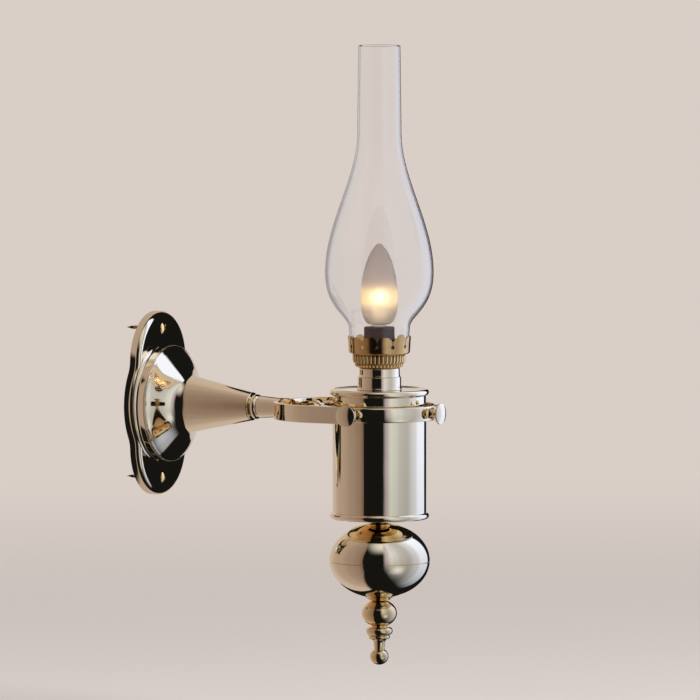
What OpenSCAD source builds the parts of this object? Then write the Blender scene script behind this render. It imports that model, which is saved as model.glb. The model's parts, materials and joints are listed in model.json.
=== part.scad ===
// Gimbal wall lamp: a wall plate and trumpet arm carry a fork, a gimbal ring and an electrified oil lamp.
// Millimetres. The origin is the middle of the wall plate's back, on the wall; +Y runs into the wall,
// the lamp stands out along -Y, +Z is up. Heights on the lamp are measured from the gimbal pivots.

/* [Wall plate] */
// Radius of the plate's middle disc
plate_r = 59; // [58:0.5:66]
// Radius of the two ears
ear_r = 47; // [42:0.5:50]
// Height of an ear's centre above the plate's middle
ear_rise = 40.5; // [36:0.5:46]
// Thickness of the plate at its face
plate_t = 10.3; // [9:0.1:13]
// Radius of the plate's front edge
plate_edge = 4; // [2:0.5:4.5]
// Thickness of the cast walls
plate_wall = 2.4; // [1.8:0.1:3]
// Radius of the round pedestal
pedestal_r = 55.2; // [52:0.1:56]
// Height of the pedestal above the plate's face
pedestal_h = 8.8; // [7:0.1:11]
// Radius of the cove at the pedestal's foot
cove_r = 3.4; // [1:0.1:4]
// Distance between the two wall screws
screw_pitch = 142; // [138:1:146]
// Radius of a wall screw's thread
screw_thread_r = 2.1; // [1.8:0.1:2.3]
// Radius of a wall screw's plain shank
screw_shank_r = 2.4; // [2.4:0.1:2.8]
// Radius of a wall screw's head
screw_head_r = 5.8; // [5:0.1:6.5]
// Height of the raised part of a wall screw's head
screw_dome = 1.7; // [1:0.1:2]
// Length of a wall screw behind the plate
screw_reach = 30; // [20:1:45]

/* [Bell and neck] */
// Radius of the bell's rim
bell_r = 55; // [50:0.1:55]
// Thickness of the bell's rim
bell_rim_t = 1.6; // [1.2:0.1:2.5]
// Radius where the trumpet runs into the cone
bell_throat_r = 26.3; // [22:0.1:30]
// Distance from the rim's face to the start of the cone
bell_throat_v = 24.3; // [20:0.1:30]
// Radius of the cone's small end
cone_r = 13.3; // [11:0.1:14]
// Thickness of the spun bell
bell_wall = 1.2; // [0.9:0.1:1.8]
// Radius of the bead collar at the cone's nose
nose_r = 11.8; // [10:0.1:13]
// Length of the bead collar
nose_len = 8.2; // [6:0.1:12]
// Length of the neck between the collar and the fork
neck_len = 22.4; // [18:0.1:30]
// Radius of the neck at the collar
neck_r = 10.7; // [9:0.1:11.5]
// Radius of the neck at the fork
neck_tip_r = 9.2; // [8:0.1:11]
// Radius of the hollow tie rod
rod_r = 5; // [4.5:0.1:5.5]
// Radius of the tie rod's wire way
rod_bore_r = 3.5; // [3:0.1:3.8]

/* [Fork and ring] */
// Distance from the wall to the lamp's axis
lamp_reach = 242; // [236:1:270]
// Inside half width of the fork
fork_in = 60; // [60:0.1:64]
// Thickness of the fork's band
fork_t = 4.2; // [3:0.1:5]
// Height of the fork's band
fork_h = 16; // [14:0.5:18]
// Length of the fork's straight arms
arm_len = 40.2; // [36:0.1:45]
// Inside radius of the gimbal ring
ring_in = 52; // [51.8:0.1:53]
// Thickness of the gimbal ring
ring_t = 3.8; // [3:0.1:4]
// Height of the gimbal ring
ring_h = 14; // [12:0.5:16]
// Radius of a pivot screw's flat head
knob_r = 10; // [9:0.1:10.5]
// Thickness of a pivot screw's head
knob_t = 6.6; // [5:0.1:8]
// Thickness of the rim of a pivot screw's head
knob_rim_t = 3; // [2.5:0.1:4]
// Radius of the foot that a pivot screw's head tapers to
knob_foot_r = 7.5; // [6.5:0.1:7.9]
// Rounding of a pivot screw's head
knob_edge = 1; // [0.5:0.1:1.5]
// Length of the shoulder between the ring and its own screws' heads
shoulder_len = 5.2; // [4:0.1:7]
// Radius of the shoulders and washers
shoulder_r = 6; // [5:0.1:6.5]
// Radius of a pivot screw's thread
thread_r = 3.5; // [3.3:0.1:3.9]
// Radius of a pivot pin
pin_r = 3; // [2.5:0.1:3.2]
// Outside radius of the ring's bushes
bush_r = 5; // [4.5:0.1:5.4]

/* [Reservoir and lid] */
// Radius of the reservoir
tank_r = 44.2; // [43.8:0.1:44.4]
// Depth of the reservoir's foot below the pivots
tank_depth = 101; // [90:1:115]
// Height of the reservoir's shoulder above the pivots, where the lid's skirt ends
tank_shoulder = 6; // [5.9:0.1:7]
// Height of the reservoir's mouth above the pivots
tank_mouth = 14; // [12:0.1:15]
// Thickness of the reservoir's wall
tank_wall = 1.2; // [1:0.1:1.5]
// Radius of the reservoir's rolled foot and of the lid's rolled rim
roll_r = 3.05; // [2.5:0.05:3.2]
// Height of the lid's top above the pivots
lid_top = 20.8; // [19:0.1:24]
// Thickness of the lid's wall
lid_wall = 1.15; // [0.9:0.05:1.3]
// Height of the lid's screws above the pivots
lid_screw_z = 10.4; // [9.5:0.1:11]
// Radius of a lid screw's head
lid_screw_r = 2.2; // [1.8:0.1:2.6]
// Radius of a lid screw's thread
lid_thread_r = 1.2; // [0.9:0.05:1.4]
// Turn of the first lid screw round the lamp, in degrees from +X
lid_screw_turn = -97.6; // [-180:0.1:180]
// Radius of the flange of the reservoir's pivot bushes
flange_r = 5.4; // [5:0.1:5.5]

/* [Burner] */
// Radius of the lower collar
low_collar_r = 20.8; // [20:0.1:24]
// Height of the lower collar
low_collar_h = 12.3; // [9:0.1:15]
// Radius of the upper collar
top_collar_r = 19.8; // [19.4:0.1:20]
// Height of the upper collar
top_collar_h = 8.1; // [6:0.1:11]
// Radius of the burner bowl at its foot
bowl_foot_r = 18.8; // [18:0.1:19.4]
// Radius of the burner bowl at its rim
bowl_r = 25.1; // [24.5:0.1:26]
// Height of the burner bowl
bowl_h = 14; // [12:0.1:16]
// Thickness of the burner's sheet brass
sheet = 1; // [0.8:0.1:1.2]
// Number of flutes round the bowl
flute_n = 40; // [32:1:44]
// Outside radius of the gallery
gallery_r = 29.3; // [29.3:0.1:31]
// Height of the gallery to the tips of its petals
gallery_h = 15.9; // [13:0.1:18]
// Number of petals
petal_n = 12; // [10:1:14]
// Thickness of the petals
petal_wall = 0.6; // [0.5:0.05:0.7]
// Radius of the keyhole at the foot of each slit
keyhole_r = 1.9; // [1.5:0.1:2.2]
// Height of the keyholes above the gallery's foot
keyhole_z = 6.8; // [5:0.1:8]
// Turn of the first slit round the lamp, in degrees from +X
gallery_turn = -6.3; // [-15:0.1:15]
// Radius of the threaded tube through the burner
tube_r = 5; // [4.5:0.1:5.5]
// Radius of the lamp holder
holder_r = 14.4; // [13.5:0.1:15]
// Height of the lamp holder
holder_h = 34.1; // [32:0.1:37]

/* [Chimney] */
// How much wider the chimney's foot is at its top
foot_flare = 0.5; // [0.2:0.1:1.5]
// Height of the foot
foot_h = 22; // [20:0.5:28]
// Outside radius of the bulge
bulge_r = 51.1; // [45:0.1:55]
// Height of the bulge's widest place above the foot
bulge_z = 74.7; // [65:0.1:85]
// Outside radius where the neck starts
chimney_neck_r = 20.8; // [20:0.1:24]
// Height where the neck starts above the foot
chimney_neck_z = 205.7; // [190:0.1:220]
// Outside radius of the chimney's mouth
mouth_r = 19.8; // [19:0.1:23]
// Height of the chimney
chimney_h = 287.8; // [260:0.1:320]
// Thickness of the glass
glass_t = 1.5; // [1.2:0.1:1.9]

/* [Bulb] */
// Radius of the candle bulb
bulb_r = 17.5; // [16:0.1:18]
// Height of the bulb's glass
bulb_h = 75; // [65:0.1:80]
// Height of the bulb's widest place above the foot of its glass
bulb_wide_z = 22.6; // [18:0.1:28]
// Thickness of the bulb's glass
bulb_glass_t = 0.8; // [0.6:0.1:1]
// Radius of the bulb's screw cap
cap_r = 6.94; // [6.7:0.01:7.1]
// Height of the bulb's screw cap
cap_h = 23.5; // [22:0.1:25]

/* [Ball and finial] */
// Height of the golden neck between reservoir and ball
ball_neck_h = 3.4; // [2.5:0.1:6]
// Radius of the golden neck
ball_neck_r = 11.5; // [9:0.1:14]
// Radius of the ball
ball_r = 47.6; // [42:0.1:52]
// Half the ball's height
ball_half = 36; // [30:0.1:40]
// Thickness of the ball's shells
ball_wall = 1.5; // [1.2:0.1:2]
// Distance of the ball's seam below its middle
seam_drop = 1; // [0.5:0.1:2]
// Radius of the cup under the ball
cup_r = 13.4; // [12.5:0.1:15]
// Height of the cup under the ball
cup_h = 3; // [2.5:0.1:5]
// Radius of the finial's egg
egg_r = 16.7; // [14:0.1:19]
// Height of the finial's egg
egg_h = 24.8; // [20:0.1:28]
// Radius of the finial's large bead
bead_r = 12.7; // [11:0.1:14]
// Height of the finial's large bead
bead_h = 7.8; // [6:0.1:9]
// Radius of the finial's small bead
fillet_r = 10.2; // [9:0.1:11]
// Height of the finial's small bead
fillet_h = 3.6; // [3:0.1:5]
// Radius of the finial's waist
waist_r = 5.9; // [5:0.1:7]
// Height of the finial's waist
waist_h = 8.7; // [6:0.1:11]
// Radius of the finial's end ball
tip_r = 8.8; // [7:0.1:10]
// Height of the finial's end ball
tip_h = 15.8; // [13:0.1:18]
// Radius of the through rod
through_r = 4; // [3.5:0.1:4.5]
// Top of the ballast below the ball's middle
ballast_drop = 2; // [0:0.5:8]

/* [Hidden] */
$fn = 96;

// Clearances: a running fit, a thread or push fit, and the gap between pieces that pass each other
run_gap = 0.05;
push_gap = 0.03;
free_gap = 0.3;
glass_gap = 0.5;
screw_gap = 0.1;
// Extra length that a cutting shape has past the face it cuts
over = 1;

// Radius of the bosses round the wall screws
boss_r = 7;

// Distances from the wall, along the arm
pedestal_v = plate_t + pedestal_h;
bell_v = pedestal_v + bell_rim_t;
throat_v = bell_v + bell_throat_v;
bow_r = fork_in + fork_t;
bow_v = lamp_reach - arm_len;
yoke_v = bow_v - bow_r;
nose_v = yoke_v - neck_len;
cone_v = nose_v - nose_len;
inner_v = pedestal_v - plate_wall;
rod_start_v = 8;
nut_t = 5;
washer_t = 2.4;
washer_v = yoke_v + fork_t;
front_nut_v = washer_v + washer_t;
rod_end_v = front_nut_v + nut_t + 0.6;
rod_nut_r = 8.5;

// Radii and heights on the lamp
pin_short = 0.2;
pin_in = 5;
bush_back = 4.8;
ring_out = ring_in + ring_t;
lid_r = tank_r - 0.3;
lid_in_r = lid_r - lid_wall;
tank_neck_r = lid_in_r - 0.12;
tank_in_r = tank_r - tank_wall;
neck_in_r = tank_neck_r - tank_wall;
roll_centre_r = tank_r - roll_r + 2.65;
lid_roll_r = roll_centre_r - 0.1;
low_collar_z = lid_top;
top_collar_z = low_collar_z + low_collar_h;
bowl_z = top_collar_z + top_collar_h;
gallery_z = bowl_z + bowl_h;
bowl_mouth_r = bowl_r - 2;
skirt_r = bowl_mouth_r - 0.1;
foot_r = gallery_r - petal_wall - glass_gap;
foot_top_r = foot_r + foot_flare;
chimney_z = gallery_z + sheet + free_gap;
spacer_h = 4.4;
holder_wall = 1.2;
holder_z = bowl_z + sheet + spacer_h;
holder_top = holder_z + holder_h;
core_z = holder_z + 5;
core_r = holder_r - holder_wall - 0.1;
core_floor = 3.4;
sleeve_in = cap_r + run_gap;
sleeve_out = sleeve_in + 1.1;
contact_z = core_z + core_floor;
contact_h = 1.2;
cap_foot = 3;
cap_z = contact_z + contact_h + free_gap + cap_foot;
glass_z = cap_z + cap_h;
nut_across = 16;
lid_nut_h = 4.4;
tube_low = lid_top - 2 * lid_wall - lid_nut_h - 2.3;
tube_high = holder_z + holder_wall + 3.2;
tank_floor = -tank_depth + 1.5;
ball_top = -tank_depth - ball_neck_h;
ball_z = ball_top - ball_half;
cup_rim_z = ball_z - ball_half * sqrt(1 - pow(cup_r / ball_r, 2));
cup_z = cup_rim_z - cup_h;
egg_z = cup_z - egg_h;
bead_z = egg_z - 0.4 - bead_h;
fillet_z = bead_z - 0.1 - fillet_h;
waist_z = fillet_z - waist_h;
tip_z = waist_z - tip_h;
rod_low = cup_z - 13;
rod_high = tank_floor + 9;

// A point on a cubic curve, n steps along it, a list without its first point, and a list turned round
function bezier(p, t) =
    pow(1 - t, 3) * p[0] + 3 * pow(1 - t, 2) * t * p[1] + 3 * (1 - t) * t * t * p[2] + pow(t, 3) * p[3];
function curve(p, n) = [for (i = [0:n]) bezier(p, i / n)];
function rest_of(p) = [for (i = [1:len(p) - 1]) p[i]];
function turned(p) = [for (i = [len(p) - 1:-1:0]) p[i]];

// Points along an ellipse from angle a0 to a1, and the ellipse's radius at a height
function arc(c, a, b, a0, a1, n) = [
    for (i = [0:n]) let (w = a0 + (a1 - a0) * i / n) c + [a * cos(w), b * sin(w)]
];
function ellipse_at(a, b, h) = a * sqrt(max(0, 1 - pow(h / b, 2)));

// A line of points moved to its left by w, for the inner side of a wall
function inset(p, w) = [
    for (i = [0:len(p) - 1])
        let (d = p[min(i + 1, len(p) - 1)] - p[max(i - 1, 0)])
        p[i] + w * [-d[1], d[0]] / norm(d)
];

// Places: out from the wall, on the lamp's axis, and along a pivot axis on the lamp
module out_from_wall() {
    rotate([90, 0, 0]) children();
}

module at_lamp() {
    translate([0, -lamp_reach, 0]) children();
}

module at_fork_pivots() {
    at_lamp()
        for (side = [0, 180])
            rotate([0, 0, side])
                rotate([0, 90, 0])
                    children();
}

module at_ring_pivots() {
    at_lamp()
        for (side = [90, 270])
            rotate([0, 0, side])
                rotate([0, 90, 0])
                    children();
}

// A round washer or tube
module tube(outer, inner, h) {
    difference() {
        cylinder(r = outer, h = h);
        translate([0, 0, -over])
            cylinder(r = inner, h = h + 2 * over);
    }
}

// A hexagonal nut with a plain bore
module hex_nut(across, bore, h) {
    difference() {
        cylinder(r = across / sqrt(3), h = h, $fn = 6);
        translate([0, 0, -over])
            cylinder(r = bore, h = h + 2 * over);
    }
}

// A disc whose upper edge is rounded
module edged_disc(r, t, edge) {
    rotate_extrude()
        union() {
            square([r - edge, t]);
            square([r, t - edge]);
            translate([r - edge, t - edge])
                intersection() {
                    circle(r = edge);
                    square(edge + over);
                }
        }
}

// The plate's outline: a middle disc and two ears
module plate_form(disc, ear, t, edge) {
    edged_disc(disc, t, edge);
    for (up = [-1, 1])
        translate([0, up * ear_rise, 0])
            edged_disc(ear, t, edge);
}

module wall_plate() {
    cavity_t = plate_t - plate_wall;
    sink = screw_head_r - screw_shank_r;
    hole_r = screw_shank_r + screw_gap;
    seat_r = screw_head_r + screw_gap;
    color([0.86, 0.80, 0.66])
        out_from_wall()
            difference() {
                union() {
                    difference() {
                        union() {
                            plate_form(plate_r, ear_r, plate_t, plate_edge);
                            translate([0, 0, plate_t - over])
                                rotate_extrude()
                                    difference() {
                                        square([pedestal_r + cove_r, over + cove_r]);
                                        translate([pedestal_r + cove_r, over + cove_r])
                                            circle(r = cove_r);
                                    }
                            cylinder(r = pedestal_r, h = pedestal_v);
                        }
                        translate([0, 0, -over])
                            plate_form(plate_r - plate_wall, ear_r - plate_wall, cavity_t + over, plate_edge - 1);
                        translate([0, 0, -over])
                            cylinder(r = pedestal_r - plate_wall, h = pedestal_v - plate_wall + over);
                    }
                    for (up = [-1, 1])
                        translate([0, up * screw_pitch / 2, 0])
                            cylinder(r = boss_r, h = plate_t - 0.5);
                }
                for (up = [-1, 1])
                    translate([0, up * screw_pitch / 2, 0]) {
                        translate([0, 0, -over])
                            cylinder(r = hole_r, h = plate_t + 2 * over);
                        translate([0, 0, plate_t - sink])
                            cylinder(r1 = hole_r, r2 = seat_r, h = sink);
                        translate([0, 0, plate_t - push_gap])
                            cylinder(r = seat_r, h = over);
                    }
                cylinder(r = rod_r + push_gap, h = pedestal_v + over);
            }
}

module wall_screws() {
    sink = screw_head_r - screw_shank_r;
    dome_r = (pow(screw_head_r, 2) + pow(screw_dome, 2)) / (2 * screw_dome);
    slot_w = 1.3;
    slot_deep = 1.6;
    shank_out = 0.5;
    point_len = 6;
    color([0.82, 0.62, 0.28])
        out_from_wall()
            for (up = [-1, 1])
                translate([0, up * screw_pitch / 2, 0])
                    difference() {
                        union() {
                            translate([0, 0, -shank_out])
                                cylinder(r = screw_shank_r, h = plate_t + shank_out);
                            translate([0, 0, plate_t - sink])
                                cylinder(r1 = screw_shank_r, r2 = screw_head_r, h = sink);
                            intersection() {
                                translate([0, 0, plate_t])
                                    cylinder(r = screw_head_r, h = screw_dome + over);
                                translate([0, 0, plate_t + screw_dome - dome_r])
                                    sphere(r = dome_r);
                            }
                            translate([0, 0, point_len - screw_reach])
                                cylinder(r = screw_thread_r, h = screw_reach - point_len);
                            translate([0, 0, -screw_reach])
                                cylinder(r1 = 0.3, r2 = screw_thread_r, h = point_len);
                        }
                        rotate([0, 0, 60])
                            translate([-screw_head_r - over, -slot_w / 2, plate_t + screw_dome - slot_deep])
                                cube([2 * (screw_head_r + over), slot_w, slot_deep + over]);
                    }
}

// Wire connector behind the pedestal, and the screws that clamp its wires
block_w = 30;
block_h = 14;
block_t = 10;
block_z = -32;
block_pitch = 10;
wire_hole_r = 2.2;
clamp_hole_r = 1.8;
clamp_head_r = 2.8;
clamp_head_t = 1.4;

module terminal_block() {
    color([0.90, 0.89, 0.86])
        difference() {
            translate([-block_w / 2, -inner_v, block_z - block_h / 2])
                cube([block_w, block_t, block_h]);
            for (i = [-1, 1])
                translate([i * block_pitch, -inner_v + block_t / 2, block_z - block_h])
                    cylinder(r = wire_hole_r, h = 2 * block_h);
            for (i = [-1, 0, 1])
                translate([i * block_pitch, -inner_v - over, block_z])
                    rotate([-90, 0, 0])
                        cylinder(r = clamp_hole_r, h = block_t + 2 * over);
        }
}

module terminal_screws() {
    color([0.75, 0.75, 0.76])
        for (i = [-1, 0, 1])
            translate([i * block_pitch, -inner_v + block_t / 2 + 0.2, block_z])
                rotate([-90, 0, 0])
                    difference() {
                        union() {
                            cylinder(r = clamp_hole_r - push_gap, h = block_t / 2);
                            translate([0, 0, block_t / 2 - 0.2])
                                cylinder(r = clamp_head_r, h = clamp_head_t);
                        }
                        translate([-clamp_head_r - over, -0.3, block_t / 2 + clamp_head_t - 1])
                            cube([2 * (clamp_head_r + over), 0.6, 2]);
                    }
}

// Earth screw on its washer, behind the pedestal
module earth_screw() {
    place = [28, -inner_v, 18];
    washer_r = 5;
    shank_r = 2;
    shank_h = 3;
    head_r = 3.6;
    head_h = 2.4;
    color([0.82, 0.62, 0.28])
        translate(place)
            rotate([-90, 0, 0])
                difference() {
                    union() {
                        cylinder(r = washer_r, h = 1);
                        cylinder(r = shank_r, h = shank_h + 0.5);
                        translate([0, 0, shank_h])
                            cylinder(r = head_r, h = head_h);
                    }
                    translate([-head_r - over, -0.4, shank_h + head_h - 1])
                        cube([2 * (head_r + over), 0.8, 2]);
                }
}

// Outer side of the trumpet and cone, as radius and distance from the wall
bell_line = concat(
    [[bell_r, pedestal_v], [bell_r, bell_v]],
    rest_of(curve([
        [bell_r, bell_v],
        [bell_r - 8, bell_v + 0.28 * bell_throat_v],
        [bell_throat_r + 2.7, bell_v + 0.5 * bell_throat_v],
        [bell_throat_r, throat_v]
    ], 16)),
    [[cone_r, cone_v]]
);

module bell() {
    seat_w = 3;
    nose_t = 2;
    shell = [for (i = [2:len(bell_line) - 1]) bell_line[i]];
    inner = inset(shell, bell_wall);
    color([0.86, 0.80, 0.66])
        out_from_wall()
            difference() {
                rotate_extrude()
                    polygon(concat(
                        [[bell_r - seat_w, pedestal_v]], bell_line, [[0, cone_v]],
                        [[0, cone_v - nose_t]], [[inner[len(inner) - 1][0], cone_v - nose_t]],
                        turned([for (i = [1:len(inner) - 2]) inner[i]])
                    ));
                translate([0, 0, cone_v - nose_t - over])
                    cylinder(r = rod_r + push_gap, h = nose_t + 2 * over);
            }
}

module nose_collar() {
    bead = 3.85;
    color([0.86, 0.80, 0.66])
        out_from_wall()
            difference() {
                rotate_extrude()
                    union() {
                        translate([0, cone_v])
                            square([nose_r - 1.6, nose_len]);
                        translate([nose_r - bead, cone_v + bead])
                            circle(r = bead);
                    }
                translate([0, 0, cone_v - over])
                    cylinder(r = rod_r + push_gap, h = nose_len + 2 * over);
            }
}

module fork_neck() {
    color([0.86, 0.80, 0.66])
        difference() {
            out_from_wall()
                difference() {
                    translate([0, 0, nose_v])
                        cylinder(r1 = neck_r, r2 = neck_tip_r, h = yoke_v - nose_v + 1);
                    translate([0, 0, nose_v - over])
                        cylinder(r = rod_r + push_gap, h = yoke_v - nose_v + 1 + 2 * over);
                }
            translate([0, -bow_v, -20])
                cylinder(r = bow_r + push_gap, h = 40);
        }
}

module fork_yoke() {
    color([0.86, 0.80, 0.66])
        difference() {
            union() {
                difference() {
                    translate([0, -bow_v, -fork_h / 2])
                        cylinder(r = bow_r, h = fork_h);
                    translate([0, -bow_v, -fork_h / 2 - over])
                        cylinder(r = fork_in, h = fork_h + 2 * over);
                    translate([-bow_r - over, -bow_v - bow_r - over, -fork_h / 2 - over])
                        cube([2 * (bow_r + over), bow_r + over, fork_h + 2 * over]);
                }
                for (side = [-1, 1]) {
                    translate([side * (fork_in + fork_t / 2) - fork_t / 2, -lamp_reach, -fork_h / 2])
                        cube([fork_t, arm_len, fork_h]);
                    translate([side * (fork_in + fork_t / 2) - fork_t / 2, -lamp_reach, 0])
                        rotate([0, 90, 0])
                            cylinder(r = fork_h / 2, h = fork_t);
                }
            }
            at_fork_pivots()
                translate([0, 0, fork_in - over])
                    cylinder(r = thread_r + push_gap, h = fork_t + 2 * over);
            out_from_wall()
                translate([0, 0, yoke_v - over])
                    cylinder(r = rod_r + push_gap, h = fork_t + 2 * over);
        }
}

module tie_rod() {
    color([0.78, 0.72, 0.56])
        out_from_wall()
            translate([0, 0, rod_start_v])
                tube(rod_r, rod_bore_r, rod_end_v - rod_start_v);
}

// One hexagonal nut behind the pedestal, and a round slotted nut inside the fork
module tie_rod_nuts() {
    rear_v = inner_v - nut_t;
    color([0.82, 0.66, 0.36])
        out_from_wall() {
            translate([0, 0, rear_v])
                hex_nut(nut_across, rod_r + push_gap, nut_t);
            translate([0, 0, front_nut_v])
                difference() {
                    tube(rod_nut_r, rod_r + push_gap, nut_t);
                    for (turn = [0, 90])
                        rotate([0, 0, turn])
                            translate([-rod_nut_r - over, -0.8, nut_t - 1.4])
                                cube([2 * (rod_nut_r + over), 1.6, 1.4 + over]);
                }
        }
}

// Washer whose back follows the inside of the fork's bow
module yoke_washer() {
    color([0.82, 0.66, 0.36])
        intersection() {
            out_from_wall()
                translate([0, 0, washer_v - 0.5])
                    tube(rod_nut_r + 1, rod_r + push_gap, washer_t + 0.5);
            translate([0, -bow_v, -20])
                cylinder(r = fork_in - push_gap, h = 40, $fn = 360);
        }
}

// Rubber bush in the end of the hollow rod
module cord_bush() {
    bore = rod_bore_r - 0.9;
    plug_len = 8;
    flange_t = 1.6;
    color([0.10, 0.09, 0.08])
        out_from_wall() {
            translate([0, 0, rod_end_v - plug_len])
                tube(rod_bore_r - push_gap, bore, plug_len);
            translate([0, 0, rod_end_v])
                tube(rod_r - 0.3, bore, flange_t);
        }
}

// Flat round head with softened edges on a tapered foot, from z = 0 upward
module knob() {
    rim_z = knob_t - knob_rim_t;
    rotate_extrude()
        union() {
            polygon([
                [0, 0],
                [knob_foot_r, 0],
                [knob_r - knob_edge, rim_z],
                [knob_r - knob_edge, knob_t],
                [0, knob_t]
            ]);
            translate([0, rim_z + knob_edge])
                square([knob_r, knob_rim_t - 2 * knob_edge]);
            for (h = [rim_z + knob_edge, knob_t - knob_edge])
                translate([knob_r - knob_edge, h])
                    circle(r = knob_edge);
        }
}

module fork_pivot_screws() {
    color([0.88, 0.82, 0.68])
        at_fork_pivots() {
            translate([0, 0, bow_r])
                knob();
            translate([0, 0, fork_in])
                cylinder(r = thread_r, h = fork_t + 1);
            translate([0, 0, ring_in + pin_short])
                cylinder(r = pin_r, h = fork_in - ring_in + 1);
        }
}

module fork_pivot_washers() {
    color([0.82, 0.62, 0.28])
        at_fork_pivots()
            translate([0, 0, ring_out + free_gap])
                tube(shoulder_r, pin_r + run_gap, fork_in - ring_out - free_gap);
}

module gimbal_ring() {
    edge = 1.5;
    color([0.86, 0.80, 0.66])
        difference() {
            at_lamp()
                rotate_extrude()
                    translate([ring_in, -ring_h / 2])
                        union() {
                            translate([edge, 0])
                                square([ring_t - 2 * edge, ring_h]);
                            translate([0, edge])
                                square([ring_t, ring_h - 2 * edge]);
                            for (x = [edge, ring_t - edge])
                                for (h = [edge, ring_h - edge])
                                    translate([x, h])
                                        circle(r = edge);
                        }
            at_fork_pivots()
                translate([0, 0, ring_in - over])
                    cylinder(r = bush_r + push_gap, h = ring_t + 2 * over);
            at_ring_pivots()
                translate([0, 0, ring_in - over])
                    cylinder(r = thread_r + push_gap, h = ring_t + 2 * over);
        }
}

module ring_bushes() {
    color([0.76, 0.56, 0.26])
        at_fork_pivots()
            translate([0, 0, ring_in + 0.1])
                tube(bush_r, pin_r + run_gap, ring_t - 0.3);
}

module ring_pivot_screws() {
    pin_end = tank_r - pin_in;
    color([0.88, 0.82, 0.68])
        at_ring_pivots() {
            translate([0, 0, ring_out + shoulder_len])
                knob();
            translate([0, 0, ring_out + push_gap])
                cylinder(r = shoulder_r, h = shoulder_len + 1);
            translate([0, 0, ring_in])
                cylinder(r = thread_r, h = ring_t + 1);
            translate([0, 0, pin_end])
                cylinder(r = pin_r, h = ring_in - pin_end + 1);
        }
}

// Outer side of the reservoir, from the middle of its foot up to its mouth
tank_line = concat(
    [[roll_centre_r, -tank_depth]],
    rest_of(arc([roll_centre_r, -tank_depth + roll_r], roll_r, roll_r, -90, 80, 10)),
    [[tank_r, -tank_depth + 2 * roll_r + 0.4], [tank_r, tank_shoulder]],
    [[tank_neck_r, tank_shoulder], [tank_neck_r, tank_mouth]]
);

module reservoir() {
    color([0.86, 0.80, 0.66])
        difference() {
            at_lamp()
                difference() {
                    rotate_extrude()
                        polygon(concat(
                            [[0, -tank_depth]], tank_line,
                            [[neck_in_r, tank_mouth], [neck_in_r, tank_shoulder - tank_wall]],
                            [[tank_in_r, tank_shoulder - tank_wall], [tank_in_r, tank_floor], [0, tank_floor]]
                        ));
                    translate([0, 0, -tank_depth - over])
                        cylinder(r = through_r + push_gap, h = 2 * over + 2);
                    for (i = [0:2])
                        rotate([0, 0, lid_screw_turn + 120 * i])
                            translate([tank_neck_r - 3, 0, lid_screw_z])
                                rotate([0, 90, 0])
                                    cylinder(r = lid_thread_r + run_gap, h = 6);
                    translate([0, 0, grommet_z])
                        rotate([-90, 0, 0])
                            cylinder(r = grommet_r + push_gap, h = tank_r + over);
                }
            at_ring_pivots()
                translate([0, 0, tank_r - pin_in])
                    cylinder(r = bush_body_r + push_gap, h = pin_in + 3);
        }
}

// Flanged bushes that hang the reservoir on the ring's pins; each has a boss that fits the wall inside
bush_body_r = pin_r + 1.4;

module reservoir_bushes() {
    back = tank_r - bush_back;
    boss = bush_body_r + 2;
    color([0.76, 0.56, 0.26])
        difference() {
            union() {
                at_ring_pivots() {
                    translate([0, 0, back])
                        cylinder(r = bush_body_r, h = tank_r - back + 1);
                    translate([0, 0, tank_r + 0.05])
                        cylinder(r = flange_r, h = 1.6);
                }
                intersection() {
                    at_ring_pivots()
                        translate([0, 0, back])
                            cylinder(r = boss, h = 8);
                    at_lamp()
                        translate([0, 0, -boss - over])
                            cylinder(r = neck_in_r - push_gap, h = 2 * (boss + over));
                }
            }
            at_ring_pivots()
                translate([0, 0, back - over])
                    cylinder(r = pin_r + run_gap, h = bush_back + 5);
        }
}

// Rubber bush where the wires enter the reservoir, on the wall's side below the ring
grommet_r = 4.5;
grommet_z = -28;
grommet_bore_r = 2.6;

module cord_grommet() {
    flange = 1.6;
    flange_t = 1.8;
    color([0.10, 0.09, 0.08])
        at_lamp()
            translate([0, 0, grommet_z])
                rotate([-90, 0, 0])
                    difference() {
                        union() {
                            translate([0, 0, tank_in_r - 0.6 - flange_t])
                                cylinder(r = grommet_r + flange, h = flange_t);
                            translate([0, 0, tank_in_r - 0.6 - flange_t])
                                cylinder(r = grommet_r, h = tank_wall + 2 * flange_t);
                            translate([0, 0, tank_r + screw_gap])
                                cylinder(r = grommet_r + flange, h = flange_t);
                        }
                        cylinder(r = grommet_bore_r, h = tank_r + 10);
                    }
}

module lid() {
    skirt_z = tank_shoulder + 0.1;
    roll_z = lid_top - roll_r + 0.75;
    color([0.86, 0.80, 0.66])
        at_lamp()
            difference() {
                union() {
                    translate([0, 0, skirt_z])
                        tube(lid_r, lid_in_r, lid_top - skirt_z);
                    rotate_extrude()
                        translate([lid_roll_r, roll_z])
                            circle(r = roll_r);
                    translate([0, 0, lid_top - 2 * lid_wall])
                        cylinder(r = lid_roll_r, h = 2 * lid_wall);
                }
                translate([0, 0, skirt_z - over])
                    cylinder(r = lid_in_r, h = lid_top - 2 * lid_wall - skirt_z + over);
                translate([0, 0, lid_top - 5])
                    cylinder(r = tube_r + push_gap, h = 10);
                for (i = [0:2])
                    rotate([0, 0, lid_screw_turn + 120 * i])
                        translate([lid_in_r - 3, 0, lid_screw_z])
                            rotate([0, 90, 0])
                                cylinder(r = lid_thread_r + run_gap, h = 6);
            }
}

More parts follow.
